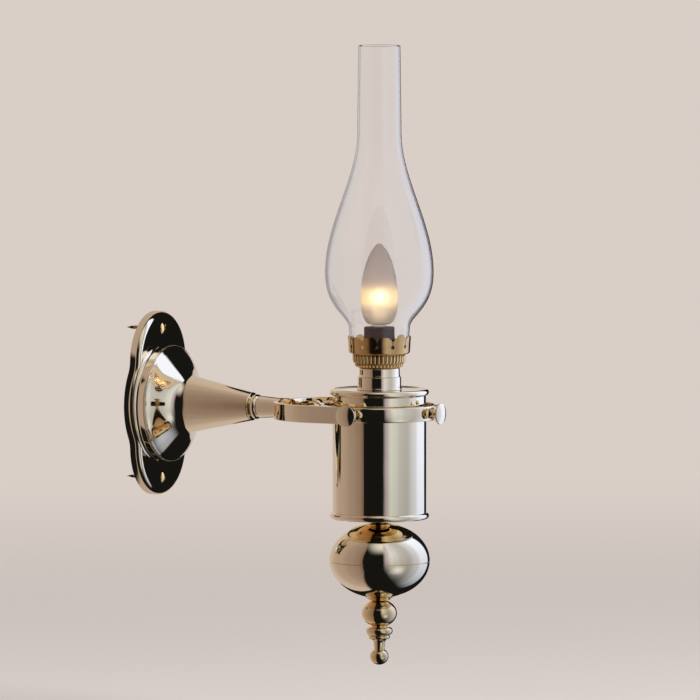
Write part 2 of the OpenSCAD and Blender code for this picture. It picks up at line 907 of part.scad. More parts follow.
module lid_screws() {
    head_h = 1.5;
    head_round = 2.6;
    color([0.82, 0.66, 0.36])
        at_lamp()
            for (i = [0:2])
                rotate([0, 0, lid_screw_turn + 120 * i])
                    translate([0, 0, lid_screw_z])
                        rotate([0, 90, 0])
                            difference() {
                                union() {
                                    translate([0, 0, neck_in_r - 2])
                                        cylinder(r = lid_thread_r, h = lid_r - neck_in_r + 3);
                                    intersection() {
                                        translate([0, 0, lid_r + push_gap])
                                            cylinder(r = lid_screw_r, h = 2 * head_h);
                                        translate([0, 0, lid_r + head_h - head_round])
                                            sphere(r = head_round);
                                    }
                                }
                                translate([-lid_screw_r - over, -0.25, lid_r + 0.6 * head_h])
                                    cube([2 * (lid_screw_r + over), 0.5, 2]);
                            }
}

// A hollow collar with a closed top, drilled for the burner tube
module collar(r, h) {
    difference() {
        edged_disc(r, h, 0.6);
        translate([0, 0, -over])
            cylinder(r = r - 1.5, h = h - 1.5 + over);
        cylinder(r = tube_r + push_gap, h = h + over);
    }
}

module lower_collar() {
    color([0.86, 0.80, 0.66])
        at_lamp()
            translate([0, 0, low_collar_z])
                collar(low_collar_r, low_collar_h);
}

module upper_collar() {
    color([0.86, 0.80, 0.66])
        at_lamp()
            translate([0, 0, top_collar_z])
                collar(top_collar_r, top_collar_h);
}

// Outer side of the bowl between its ribs
bowl_line = concat(
    [[bowl_foot_r, 0]],
    rest_of(curve([
        [bowl_foot_r, 0],
        [bowl_foot_r + 2.6, 1.6],
        [bowl_r - 1.9, 4.4],
        [bowl_r - 0.8, 7.2]
    ], 6)),
    [[bowl_r - 0.8, bowl_h]]
);

module burner_bowl() {
    rib_r = 1.5;
    rib_z = 5.6;
    bowl_wall = 1.2;
    rim_t = 1;
    color([0.83, 0.68, 0.38])
        at_lamp()
            translate([0, 0, bowl_z])
                difference() {
                    union() {
                        rotate_extrude()
                            polygon(concat([[0, 0]], bowl_line, [[0, bowl_h]]));
                        for (i = [0:flute_n - 1])
                            rotate([0, 0, 360 * i / flute_n])
                                translate([bowl_r - rib_r - 0.12, 0, rib_z])
                                    cylinder(r = rib_r, h = bowl_h - rib_z - rim_t);
                        translate([0, 0, bowl_h - rim_t])
                            cylinder(r = bowl_r, h = rim_t);
                    }
                    translate([0, 0, sheet])
                        rotate_extrude()
                            polygon(concat(
                                [[0, 0]], [for (p = bowl_line) p - [bowl_wall, 0]],
                                [[bowl_mouth_r, bowl_h], [0, bowl_h]]
                            ));
                    translate([0, 0, -over])
                        cylinder(r = tube_r + push_gap, h = 2 * over + sheet);
                }
}

// Gallery: a flanged cup whose wall is slit into round petals, with a keyhole at the foot of each slit
module gallery_crown() {
    skirt_h = 3;
    petal_arc = 360 / petal_n;
    half_chord = gallery_r * sin(petal_arc / 2);
    slit_w = 0.7;
    notch_z = 11;
    color([0.80, 0.62, 0.32])
        at_lamp()
            translate([0, 0, gallery_z])
                difference() {
                    union() {
                        edged_foot(gallery_r, gallery_h, 1.4);
                        translate([0, 0, -skirt_h])
                            cylinder(r = skirt_r, h = skirt_h + sheet / 2);
                    }
                    translate([0, 0, sheet])
                        cylinder(r = gallery_r - petal_wall, h = gallery_h);
                    translate([0, 0, -skirt_h - over])
                        cylinder(r = skirt_r - 0.8, h = skirt_h + sheet + 2 * over);
                    for (i = [0:petal_n - 1])
                        rotate([0, 0, gallery_turn + petal_arc * i]) {
                            translate([gallery_r - 4, 0, keyhole_z])
                                rotate([0, 90, 0])
                                    cylinder(r = keyhole_r, h = 8);
                            translate([gallery_r - 4, -slit_w / 2, keyhole_z])
                                cube([8, slit_w, gallery_h]);
                            translate([gallery_r - 4, 0, notch_z])
                                petal_gap(half_chord, gallery_h - notch_z);
                        }
                }
}

// A cup with a softened lower edge
module edged_foot(r, h, edge) {
    rotate_extrude()
        union() {
            square([r - edge, h]);
            translate([0, edge])
                square([r, h - edge]);
            translate([r - edge, edge])
                circle(r = edge);
        }
}

// What is cut away between two petals: it opens upward from a point, with round sides
module petal_gap(half, rise) {
    arch = rise + 0.12;
    side_r = (pow(half, 2) + pow(arch, 2)) / (2 * arch);
    rotate([90, 0, 90])
        linear_extrude(height = 8)
            difference() {
                translate([-half, 0])
                    square([2 * half, rise + over]);
                for (side = [-1, 1])
                    translate([side * half, arch - side_r])
                        circle(r = side_r);
            }
}

module burner_tube() {
    color([0.78, 0.72, 0.56])
        at_lamp()
            translate([0, 0, tube_low])
                tube(tube_r, tube_r - 1.3, tube_high - tube_low);
}

// Nuts under the lid, over the bowl's floor, and inside the lamp holder
module burner_nuts() {
    color([0.82, 0.66, 0.36])
        at_lamp() {
            translate([0, 0, lid_top - 2 * lid_wall - lid_nut_h])
                hex_nut(nut_across, tube_r + push_gap, lid_nut_h);
            translate([0, 0, bowl_z + sheet])
                hex_nut(nut_across, tube_r + push_gap, spacer_h);
            translate([0, 0, holder_z + holder_wall])
                tube(tube_r + 2.5, tube_r + push_gap, 3);
        }
}

module holder_shell() {
    lip_r = 10.4;
    color([0.16, 0.11, 0.08])
        at_lamp()
            translate([0, 0, holder_z])
                difference() {
                    edged_disc(holder_r, holder_h, 1);
                    translate([0, 0, holder_wall])
                        cylinder(r = holder_r - holder_wall, h = holder_h - 2 * holder_wall);
                    translate([0, 0, holder_h - 2])
                        cylinder(r = lip_r, h = 2 + over);
                    translate([0, 0, -over])
                        cylinder(r = tube_r + push_gap, h = 2 + over);
                }
}

module holder_core() {
    core_h = holder_top - holder_wall - core_z - 0.1;
    wire_x = 9.5;
    wire_r = 1.6;
    color([0.93, 0.92, 0.88])
        at_lamp()
            translate([0, 0, core_z])
                difference() {
                    cylinder(r = core_r, h = core_h);
                    translate([0, 0, core_floor])
                        cylinder(r = sleeve_out + push_gap, h = core_h);
                    for (side = [-1, 1])
                        translate([side * wire_x, 0, -over])
                            cylinder(r = wire_r, h = 6);
                }
}

module holder_sleeve() {
    color([0.82, 0.66, 0.36])
        at_lamp()
            translate([0, 0, contact_z + contact_h + 0.4])
                tube(sleeve_out, sleeve_in, cap_h - 2);
}

// Spring contact under the bulb's foot
module holder_contact() {
    color([0.80, 0.58, 0.30])
        at_lamp()
            translate([0, 0, contact_z]) {
                translate([-6, -2, 0])
                    cube([12, 4, 0.6]);
                cylinder(r = 2.2, h = contact_h);
            }
}

module ball_neck() {
    color([0.83, 0.66, 0.34])
        at_lamp()
            translate([0, 0, ball_top])
                difference() {
                    union() {
                        cylinder(r = ball_neck_r - 0.8, h = ball_neck_h);
                        rotate_extrude()
                            translate([ball_neck_r - ball_neck_h / 2, ball_neck_h / 2])
                                circle(r = ball_neck_h / 2);
                    }
                    translate([0, 0, -over])
                        cylinder(r = through_r + push_gap, h = ball_neck_h + 2 * over);
                }
}

// One shell of the ball, between two angles from its middle
module ball_shell(a, b, low, high, steps) {
    outer = arc([0, 0], a, b, low, high, steps);
    inner = arc([0, 0], a - ball_wall, b - ball_wall, high, low, steps);
    rotate_extrude()
        polygon(concat(outer, inner));
}

module ball_upper() {
    start = asin(min(1, (free_gap / 2 - seam_drop) / ball_half));
    color([0.86, 0.80, 0.66])
        at_lamp()
            translate([0, 0, ball_z])
                difference() {
                    ball_shell(ball_r, ball_half, start, 90, 20);
                    cylinder(r = through_r + push_gap, h = ball_half + over);
                }
}

module ball_lower() {
    start = asin(min(1, (free_gap / 2 + seam_drop) / ball_half));
    lip_r = ellipse_at(ball_r - ball_wall, ball_half - ball_wall, 5) - 0.1;
    color([0.86, 0.80, 0.66])
        at_lamp()
            translate([0, 0, ball_z])
                difference() {
                    union() {
                        ball_shell(ball_r, ball_half, -90, -start, 20);
                        translate([0, 0, -6])
                            tube(lip_r, lip_r - 1.2, 9);
                        intersection() {
                            translate([0, 0, -7])
                                tube(ball_r - 1, lip_r - 1.2, 3);
                            rotate_extrude()
                                polygon(concat(
                                    [[0, 0]],
                                    arc([0, 0], ball_r - 0.5, ball_half - 0.5, -40, 0, 8)
                                ));
                        }
                    }
                    translate([0, 0, -ball_half - over])
                        cylinder(r = through_r + push_gap, h = ball_half);
                }
}

// Cast weight in the ball's lower half, so that the lamp hangs upright
module ballast() {
    a = ball_r - ball_wall - free_gap - 1.6;
    b = ball_half - ball_wall - free_gap / 2;
    top = -ballast_drop - 5;
    color([0.25, 0.25, 0.26])
        at_lamp()
            translate([0, 0, ball_z])
                difference() {
                    rotate_extrude()
                        polygon(concat(
                            [[0, top], [0, -b]],
                            rest_of(arc([0, 0], a, b, -90, asin(top / b), 14))
                        ));
                    translate([0, 0, -ball_half])
                        cylinder(r = through_r + 0.2, h = ball_half);
                }
}

module through_rod() {
    color([0.70, 0.70, 0.70])
        at_lamp()
            translate([0, 0, rod_low])
                cylinder(r = through_r, h = rod_high - rod_low);
}

// Nut and washer on the reservoir's floor
module through_nuts() {
    color([0.70, 0.70, 0.70])
        at_lamp() {
            translate([0, 0, tank_floor])
                tube(11, through_r + push_gap, 1.6);
            translate([0, 0, tank_floor + 1.6])
                hex_nut(13, through_r + push_gap, 6);
        }
}

module finial_cup() {
    low_r = 10;
    rim = arc([0, ball_z - 0.05], ball_r, ball_half, -90 + asin(cup_r / ball_r), -90, 6);
    color([0.86, 0.80, 0.66])
        at_lamp()
            difference() {
                rotate_extrude()
                    polygon(concat(
                        [[0, cup_z], [low_r, cup_z]],
                        rest_of(curve([
                            [low_r, cup_z],
                            [low_r + 0.4, cup_z + 1.2],
                            [cup_r - 1, rim[0][1] - 0.9],
                            rim[0] - [0, 0.2]
                        ], 6)),
                        rim
                    ));
                translate([0, 0, cup_z - over])
                    cylinder(r = through_r + push_gap, h = cup_h + 2 * over + 2);
            }
}

// Turned drop: an egg, two beads, a waist and an end ball
finial_line = concat(
    [[0, cup_z]],
    arc([0, cup_z - egg_h / 2], egg_r, egg_h / 2 + 0.8, 70, -64, 16),
    [[7.6, egg_z], [7.6, egg_z - 0.4]],
    arc([bead_r - bead_h / 2, bead_z + bead_h / 2], bead_h / 2, bead_h / 2, 80, -80, 10),
    arc([fillet_r - fillet_h / 2, fillet_z + fillet_h / 2], fillet_h / 2, fillet_h / 2, 80, -80, 6),
    curve([
        [waist_r + 1.2, fillet_z],
        [waist_r, fillet_z - 0.3 * waist_h],
        [waist_r - 1, waist_z + 0.3 * waist_h],
        [waist_r - 0.9, waist_z + 0.2]
    ], 6),
    arc([0, waist_z - tip_h / 2], tip_r, tip_h / 2, 57, -90, 14)
);

module finial() {
    flat_top = [for (p = finial_line) [p[0], min(p[1], cup_z)]];
    color([0.80, 0.68, 0.46])
        at_lamp()
            difference() {
                rotate_extrude()
                    polygon(flat_top);
                translate([0, 0, rod_low - 1])
                    cylinder(r = through_r + push_gap, h = cup_z - rod_low + 1 + over);
            }
}

// Outer side of the glass, from the foot up
chimney_line = concat(
    [[foot_r, 0], [foot_r, gallery_h]],
    curve([
        [foot_top_r, foot_h],
        [foot_top_r, foot_h + 12],
        [bulge_r, bulge_z - 35],
        [bulge_r, bulge_z]
    ], 16),
    rest_of(curve([
        [bulge_r, bulge_z],
        [bulge_r, bulge_z + 46.3],
        [chimney_neck_r, chimney_neck_z - 42.8],
        [chimney_neck_r, chimney_neck_z]
    ], 22)),
    [[mouth_r, chimney_h]]
);

module chimney() {
    color([0.90, 0.93, 0.95, 0.35])
        at_lamp()
            translate([0, 0, chimney_z])
                rotate_extrude()
                    polygon(concat(chimney_line, turned(level_ends(inset(chimney_line, glass_t)))));
}

// The inner line with its two ends brought level with the glass's foot and mouth
function level_ends(p) = [
    for (i = [0:len(p) - 1])
        i == 0 ? [p[i][0], 0] : i == len(p) - 1 ? [p[i][0], chimney_h] : p[i]
];

// Outer side of the bulb's glass above its neck
bulb_line = concat(
    [[7.4, 0]],
    rest_of(curve([
        [7.4, 0],
        [15, 0.2],
        [bulb_r, bulb_wide_z - 12],
        [bulb_r, bulb_wide_z]
    ], 10)),
    rest_of(curve([
        [bulb_r, bulb_wide_z],
        [bulb_r, bulb_wide_z + 22.4],
        [0.66 * bulb_r, bulb_h - 9],
        [0.14 * bulb_r, bulb_h - 0.7]
    ], 16))
);

module bulb_glass() {
    neck = cap_r - 0.8;
    inner = inset(bulb_line, bulb_glass_t);
    color([0.98, 0.95, 0.86])
        at_lamp()
            translate([0, 0, glass_z])
                rotate_extrude()
                    polygon(concat(
                        [[neck, -9], [neck, 0]], bulb_line, [[0, bulb_h], [0, bulb_h - 2]],
                        turned([for (i = [1:len(inner) - 3]) inner[i]]),
                        [[neck - bulb_glass_t, 0.6], [neck - bulb_glass_t, -9]]
                    ));
}

module bulb_cap() {
    color([0.80, 0.80, 0.80])
        at_lamp()
            translate([0, 0, cap_z])
                difference() {
                    union() {
                        cylinder(r = cap_r, h = cap_h - 0.05);
                        translate([0, 0, -2])
                            cylinder(r1 = 4, r2 = cap_r, h = 2);
                        translate([0, 0, -cap_foot])
                            cylinder(r = 2.4, h = cap_foot - 1.5);
                    }
                    translate([0, 0, 1])
                        cylinder(r = cap_r - 0.7, h = cap_h);
                }
}

// Glass stem inside the bulb, on the cap's floor
module bulb_stem() {
    color([0.85, 0.90, 0.90])
        at_lamp()
            translate([0, 0, cap_z + 1]) {
                cylinder(r = 4, h = 12);
                translate([0, 0, 12])
                    cylinder(r1 = 4, r2 = 1.6, h = 22);
            }
}

// Two lead wires and the glowing thread between them
module bulb_filament() {
    low = cap_z + 35;
    rise = 16;
    spread = 7;
    color([0.5, 0.5, 0.5])
        at_lamp()
            translate([0, 0, low]) {
                for (side = [-1, 1])
                    translate([0, 0, 0.3])
                        rotate([0, side * 24, 0])
                            cylinder(r = 0.4, h = rise);
                translate([-spread, 0, rise * cos(24) + 0.1])
                    rotate([0, 90, 0])
                        cylinder(r = 0.3, h = 2 * spread);
                cylinder(r = 1.2, h = 1.5);
            }
}

wall_plate();
wall_screws();
terminal_block();
terminal_screws();
earth_screw();
bell();
nose_collar();
fork_neck();
fork_yoke();
tie_rod();
tie_rod_nuts();
yoke_washer();
cord_bush();
fork_pivot_screws();
fork_pivot_washers();
gimbal_ring();
ring_bushes();
ring_pivot_screws();
reservoir();
reservoir_bushes();
cord_grommet();
lid();
lid_screws();
lower_collar();
upper_collar();
burner_bowl();
gallery_crown();
burner_tube();
burner_nuts();
holder_shell();
holder_core();
holder_sleeve();
holder_contact();
ball_neck();
ball_upper();
ball_lower();
ballast();
through_rod();
through_nuts();
finial_cup();
finial();
chimney();
bulb_glass();
bulb_cap();
bulb_stem();
bulb_filament();
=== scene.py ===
# %% [markdown]
# # A gimbal wall lamp in polished brass
# The lamp hangs from a trumpet-shaped arm. A fork and a ring let it swing both ways, as on a ship.
# The CAD model gives every size and every joint. This lesson builds the smooth, shining pieces round it:
# most of them are turned on a lathe, so most of them are a drawn profile and a spin.

# %% Load the fixed frame
import json
from math import atan2, cos, degrees, pi, radians, sin, sqrt

import bpy
from mathutils import Matrix, Vector

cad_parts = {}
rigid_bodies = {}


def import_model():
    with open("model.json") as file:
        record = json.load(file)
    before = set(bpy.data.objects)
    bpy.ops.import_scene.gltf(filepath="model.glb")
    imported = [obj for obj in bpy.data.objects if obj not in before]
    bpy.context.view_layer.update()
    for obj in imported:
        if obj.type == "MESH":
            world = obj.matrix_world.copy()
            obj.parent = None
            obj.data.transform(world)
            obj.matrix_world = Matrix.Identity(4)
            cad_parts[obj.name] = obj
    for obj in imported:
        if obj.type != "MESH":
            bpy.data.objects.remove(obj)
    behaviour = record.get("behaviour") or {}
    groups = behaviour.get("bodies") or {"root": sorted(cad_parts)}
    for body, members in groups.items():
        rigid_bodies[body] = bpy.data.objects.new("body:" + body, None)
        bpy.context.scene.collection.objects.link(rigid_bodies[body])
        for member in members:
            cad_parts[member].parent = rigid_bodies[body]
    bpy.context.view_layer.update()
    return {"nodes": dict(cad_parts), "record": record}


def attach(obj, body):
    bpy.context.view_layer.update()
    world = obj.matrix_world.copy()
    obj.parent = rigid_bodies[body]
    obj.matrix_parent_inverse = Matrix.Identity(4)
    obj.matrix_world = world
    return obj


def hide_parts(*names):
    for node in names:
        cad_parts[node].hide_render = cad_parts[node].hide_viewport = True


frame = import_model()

# %% [markdown]
# ## Helpers
# A lathe needs three things: a place for its axis, a line to turn, and a finish. Lines are written in
# millimetres as pairs (radius, height), because that is how a turner reads a drawing.

# %% Axes that pieces are turned about
MM = 0.001
LAMP_V = 242  # from the wall to the lamp's axis, in mm
LAMP = Vector((0, -LAMP_V * MM, 0))
ROD_BORE = 5.1  # radius of the bore for tie rod and burner tube
DROP_BORE = 4.1  # radius of the bore through ball and finial
LATHES = {
    # name: (a point on the axis, the axis, the direction of the radius)
    "arm": (Vector((0, 0, 0)), Vector((0, -1, 0)), Vector((1, 0, 0))),
    "lamp": (LAMP, Vector((0, 0, 1)), Vector((1, 0, 0))),
    "fork_pivot": (LAMP, Vector((1, 0, 0)), Vector((0, 0, 1))),
    "ring_pivot": (LAMP, Vector((0, -1, 0)), Vector((0, 0, 1))),
}
print("lathes:", ", ".join(LATHES))


def on_lathe(lathe, radius, height):
    """A point in space from a radius and a height in millimetres."""
    start, axis, out = LATHES[lathe]
    return start + axis * (height * MM) + out * (radius * MM)


# %% Lines: curves, arcs and softened corners
def curve(a, b, c, d, n):
    """n points along a cubic curve from a to d, without a itself."""
    line = []
    for i in range(1, n + 1):
        t = i / n
        w = ((1 - t) ** 3, 3 * (1 - t) ** 2 * t, 3 * (1 - t) * t * t, t**3)
        line.append(tuple(sum(k * p[j] for k, p in zip(w, (a, b, c, d))) for j in (0, 1)))
    return line


def arc(cx, cy, rx, ry, start, end, n):
    """n + 1 points along an ellipse between two angles in degrees."""
    turn = [radians(start + (end - start) * i / n) for i in range(n + 1)]
    return [(cx + rx * cos(w), cy + ry * sin(w)) for w in turn]


def soft(corners, n=4):
    """A line through corners (x, y, rounding), each rounded by its own amount.

    A support point stands just outside each rounding, so that the long flat beside it shades flat.
    """
    line = []
    for i, corner in enumerate(corners):
        p, size = Vector(corner[:2]), corner[2] if len(corner) > 2 else 0
        if not size or i in (0, len(corners) - 1):
            line.append(tuple(p))
            continue
        back, on = (Vector(corners[i + k][:2]) - p for k in (-1, 1))
        if back.length > 2.2 * size:
            line.append(tuple(p + back.normalized() * size * 1.25))
        for k in range(n + 1):
            t = k / n
            before, after = p + back.normalized() * size, p + on.normalized() * size
            line.append(tuple(before * (1 - t) ** 2 + p * 2 * t * (1 - t) + after * t * t))
        if on.length > 2.2 * size:
            line.append(tuple(p + on.normalized() * size * 1.25))
    return line


# %% Drawing, selecting and turning
def close():
    """Leaves edit mode."""
    bpy.ops.object.mode_set(mode="OBJECT")


def deselect():
    """Leaves edit mode and deselects all, the CAD nodes among them."""
    if bpy.context.object and bpy.context.object.mode == "EDIT":
        close()
    bpy.ops.object.select_all(action="DESELECT")


def edit(piece):
    """Opens one piece in edit mode with all of it selected."""
    deselect()
    piece.select_set(True)
    bpy.context.view_layer.objects.active = piece
    bpy.ops.object.mode_set(mode="EDIT")
    bpy.ops.mesh.select_mode(type="VERT")
    bpy.ops.mesh.select_all(action="SELECT")


def draw(name, points, closed):
    """A plane merged to one vertex, then extruded from point to point."""
    deselect()
    bpy.ops.mesh.primitive_plane_add(size=0.01)
    piece = bpy.context.object
    piece.name = piece.data.name = name
    bpy.ops.object.mode_set(mode="EDIT")
    bpy.ops.mesh.select_mode(type="VERT")
    bpy.ops.mesh.merge(type="CENTER")
    bpy.ops.transform.translate(value=points[0])
    for before, after in zip(points, points[1:] + points[:1] if closed else points[1:]):
        bpy.ops.mesh.extrude_region_move(TRANSFORM_OT_translate={"value": after - before})
    bpy.ops.mesh.select_all(action="SELECT")
    bpy.ops.mesh.remove_doubles(threshold=2e-6)
    return piece


def weld():
    """Merges the seam, clears what collapsed and turns the faces outward; the piece is in edit mode."""
    bpy.ops.mesh.select_all(action="SELECT")
    bpy.ops.mesh.remove_doubles(threshold=2e-6)
    bpy.ops.mesh.dissolve_degenerate(threshold=1e-6)
    bpy.ops.mesh.delete_loose(use_verts=True, use_edges=True, use_faces=False)
    bpy.ops.mesh.select_all(action="SELECT")
    bpy.ops.mesh.normals_make_consistent(inside=False)


def turn(name, line, lathe="lamp", steps=144):
    """Turns a line of (radius, height) into a body. A line with both ends off the axis is closed first."""
    start, axis, _ = LATHES[lathe]
    line = [(0 if abs(r) < 1e-6 else r, h) for r, h in line]
    points = [on_lathe(lathe, r, h) for r, h in line]
    closed = not (line[0][0] == 0 and line[-1][0] == 0)
    piece = draw(name, points, closed)
    bpy.ops.mesh.spin(steps=steps, angle=2 * pi, center=start, axis=axis)
    weld()
    close()
    return piece


def pick(piece, test):
    """Selects the faces whose centre and normal pass a test, and stays in edit mode."""
    edit(piece)
    bpy.ops.mesh.select_mode(type="FACE")
    bpy.ops.mesh.select_all(action="DESELECT")
    close()
    for face in piece.data.polygons:
        face.select = test(face.center, face.normal)
    bpy.ops.object.mode_set(mode="EDIT")


def apply(piece, kind, **settings):
    """Adds a modifier with its settings and applies it."""
    deselect()
    piece.select_set(True)
    bpy.context.view_layer.objects.active = piece
    modifier = piece.modifiers.new(kind.title(), kind)
    for key, value in settings.items():
        setattr(modifier, key, value)
    bpy.ops.object.modifier_apply(modifier=modifier.name)


def cut(piece, cutter, overlapping=False):
    """Takes one body out of another and removes the cutter."""
    apply(piece, "BOOLEAN", object=cutter, operation="DIFFERENCE", solver="EXACT", use_self=overlapping)
    bpy.data.meshes.remove(cutter.data)


def bar(name, size, centre, turned=(0, 0, 0)):
    """A rectangular cutter, in millimetres and degrees."""
    deselect()
    bpy.ops.mesh.primitive_cube_add(size=1, location=Vector(centre) * MM, rotation=[radians(a) for a in turned],
                                    scale=[s * MM for s in size])
    bpy.context.object.name = name
    return bpy.context.object


def join(first, *others):
    """Joins pieces into the first one."""
    deselect()
    for piece in (first, *others):
        piece.select_set(True)
    bpy.context.view_layer.objects.active = first
    bpy.ops.object.join()
    return first


def raise_piece(piece, height):
    """Moves a piece's mesh up by a height in millimetres."""
    edit(piece)
    bpy.ops.transform.translate(value=(0, 0, height * MM))
    close()


def copy_turned(piece, name, angle, centre=LAMP, axis="Z"):
    """A copy with its own mesh, turned about an axis through a point."""
    twin = piece.copy()
    twin.data = piece.data.copy()
    twin.name = twin.data.name = name
    bpy.context.collection.objects.link(twin)
    edit(twin)
    bpy.ops.transform.rotate(value=angle, orient_axis=axis, center_override=centre)
    close()
    return twin


def seat(piece, body, material, nodes=(), smooth=38):
    """Gives a finished piece its shading, its material and its body, and hides the CAD nodes it replaces."""
    deselect()
    piece.select_set(True)
    bpy.context.view_layer.objects.active = piece
    bpy.ops.object.shade_smooth_by_angle(angle=radians(smooth))
    piece.data.materials.clear()
    piece.data.materials.append(material)
    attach(piece, body)
    if nodes:
        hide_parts(*nodes)
    print(f"{piece.name}: {len(piece.data.polygons)} faces on {body}")
    return piece


# %% [markdown]
# ## The camera
# The photograph was taken with a long lens from far away: upright lines stay upright and the scale hardly
# changes with depth. A camera ten metres off, 62 degrees to the left and 4 degrees up, gives the same view.

# %% Camera at the photograph's angle
AZIMUTH, ELEVATION = radians(-62), radians(4)
BACK = Vector((sin(AZIMUTH) * cos(ELEVATION), -cos(AZIMUTH) * cos(ELEVATION), sin(ELEVATION)))
RIGHT = Vector((cos(AZIMUTH), sin(AZIMUTH), 0))
UP = BACK.cross(RIGHT)
DISTANCE, FRAME_WIDTH, SENSOR = 10, 0.658, 36

camera_data = bpy.data.cameras.new("camera")
camera = bpy.data.objects.new("camera", camera_data)
bpy.context.collection.objects.link(camera)
camera_data.sensor_width = SENSOR
camera_data.lens = SENSOR * DISTANCE / FRAME_WIDTH
camera_data.clip_end = 200
camera.location = LAMP - RIGHT * 0.0275 + UP * 0.0578 + BACK * DISTANCE
camera.rotation_mode = "QUATERNION"
camera.rotation_quaternion = (-BACK).to_track_quat("-Z", "Y")
bpy.context.scene.camera = camera
print(f"camera: {camera_data.lens:.0f} mm lens at {DISTANCE} m")

# %% [markdown]
# ## Finishes shared by many pieces
# Polished brass isn't a perfect mirror. Spinning and polishing leave long, shallow waves, hair-fine rings
# round the work, and a little dulling where fingers and polish collect. One node group makes these masks
# from the object's own coordinates, and each brass material uses them in its own strength.


# %% A helper for node groups
def new_group(name, inputs, outputs):
    """An empty node group with float or vector inputs and float outputs."""
    group = bpy.data.node_groups.new(name, "ShaderNodeTree")
    for label, kind, value in inputs:
        socket = group.interface.new_socket(name=label, in_out="INPUT", socket_type=kind)
        if value is not None:
            socket.default_value = value
    for label in outputs:
        group.interface.new_socket(name=label, in_out="OUTPUT", socket_type="NodeSocketFloat")
    return group, group.nodes.new("NodeGroupInput"), group.nodes.new("NodeGroupOutput")


def feed(node, links):
    """Sets a node's inputs: {input: node, output socket or value}. A node gives its first output."""
    for key, value in dict(links).items():
        if isinstance(value, bpy.types.Node):
            value = value.outputs[0]
        if isinstance(value, bpy.types.NodeSocket):
            node.id_data.links.new(value, node.inputs[key])
        else:
            node.inputs[key].default_value = value


def add(tree, kind, links=(), **settings):
    """Adds a node, sets its properties and feeds its inputs."""
    node = tree.nodes.new(kind)
    for key, value in settings.items():
        setattr(node, key, value)
    feed(node, links)
    return node


def show(tree, node):
    """Makes a node the material's surface."""
    feed(tree.nodes["Material Output"], {"Surface": node})


def mix_colours(tree, factor, first, second):
    """A colour mix whose sockets are picked by type."""
    node = add(tree, "ShaderNodeMix", data_type="RGBA")
    for socket, value in zip([s for s in node.inputs if s.type == "RGBA"], (first, second)):
        socket.default_value = (*value, 1)
    feed(node, {"Factor": factor})
    return [s for s in node.outputs if s.type == "RGBA"][0]


def ramp(tree, factor, stops):
    """A colour ramp from {position: colour}; the first two stops are the ramp's own."""
    node = add(tree, "ShaderNodeValToRGB", {"Fac": factor})
    for i, (share, colour) in enumerate(stops.items()):
        stop = node.color_ramp.elements[i] if i < 2 else node.color_ramp.elements.new(share)
        stop.position, stop.color = share, (*colour, 1)
    return node


# %% The polish group: waves, rings and dull patches
polish, given, result = new_group(
    "polish",
    [
        ("Vector", "NodeSocketVector", None),
        ("Wave Scale", "NodeSocketFloat", 28.0),
        ("Ring Scale", "NodeSocketFloat", 1500.0),
    ],
    ["Waves", "Rings", "Dull"],
)
spot = given.outputs["Vector"]
waves = add(polish, "ShaderNodeTexNoise", {"Vector": spot, "Scale": given.outputs["Wave Scale"], "Detail": 1.0,
                                           "Roughness": 0.4})
squeeze = add(polish, "ShaderNodeVectorMath", {0: spot, 1: (0.03, 0.03, 1.0)}, operation="MULTIPLY")
rings = add(polish, "ShaderNodeTexNoise", {"Vector": squeeze, "Scale": given.outputs["Ring Scale"],
                                           "Detail": 2.0, "Roughness": 0.6})
patches = add(polish, "ShaderNodeTexNoise", {"Vector": spot, "Scale": 34.0, "Detail": 3.0, "Roughness": 0.55})
dull = add(polish, "ShaderNodeMapRange", {"Value": patches, "From Min": 0.5, "From Max": 0.8},
           interpolation_type="SMOOTHSTEP")
feed(result, {"Waves": waves, "Rings": rings, "Dull": dull})
print("polish group:", len(polish.nodes), "nodes")


# %% Brass, in several tints
def start_material(name):
    """A material with its Principled shader and the object's coordinates."""
    material = bpy.data.materials.new(name)
    material.use_nodes = True
    tree = material.node_tree
    shader = tree.nodes["Principled BSDF"]
    place = tree.nodes.new("ShaderNodeTexCoord").outputs["Object"]
    return material, tree, shader, place


WAVE, RING, RING_SCALE = 0.05, 0.02, 1500.0


def brass(name, tint, dulled, rough, rough_dull=0.1):
    """Polished metal: a tint that dulls in patches, with waves and rings in its surface."""
    material, tree, shader, place = start_material(name)
    marks = add(tree, "ShaderNodeGroup", node_tree=polish)
    feed(marks, {"Vector": place, "Ring Scale": RING_SCALE})
    blur = add(tree, "ShaderNodeMapRange", {"Value": marks.outputs["Dull"], "To Min": rough,
                                            "To Max": rough + rough_dull})
    first = add(tree, "ShaderNodeBump", {"Height": marks.outputs["Waves"], "Strength": WAVE, "Distance": 0.004})
    second = add(tree, "ShaderNodeBump", {"Height": marks.outputs["Rings"], "Strength": RING,
                                          "Distance": 0.0004, "Normal": first})
    feed(shader, {"Base Color": mix_colours(tree, marks.outputs["Dull"], tint, dulled), "Metallic": 1.0,
                  "Roughness": blur, "Normal": second})
    print("brass:", name, tint)
    return material


pale_brass = brass("pale_brass", (0.90, 0.75, 0.51), (0.85, 0.67, 0.42), 0.04, rough_dull=0.05)
golden_brass = brass("golden_brass", (0.90, 0.64, 0.28), (0.74, 0.47, 0.17), 0.09)
turned_brass = brass("turned_brass", (0.83, 0.62, 0.33), (0.74, 0.49, 0.21), 0.07, rough_dull=0.08)
# the bowl's brass is made much darker and rougher than the rest
dark_bowl_brass = brass("dark_bowl_brass", (0.34, 0.20, 0.08), (0.16, 0.09, 0.04), 0.3)
crown_brass = brass("crown_brass", (0.62, 0.38, 0.15), (0.40, 0.22, 0.09), 0.12)
bronze = brass("bronze", (0.62, 0.38, 0.18), (0.40, 0.23, 0.11), 0.22)

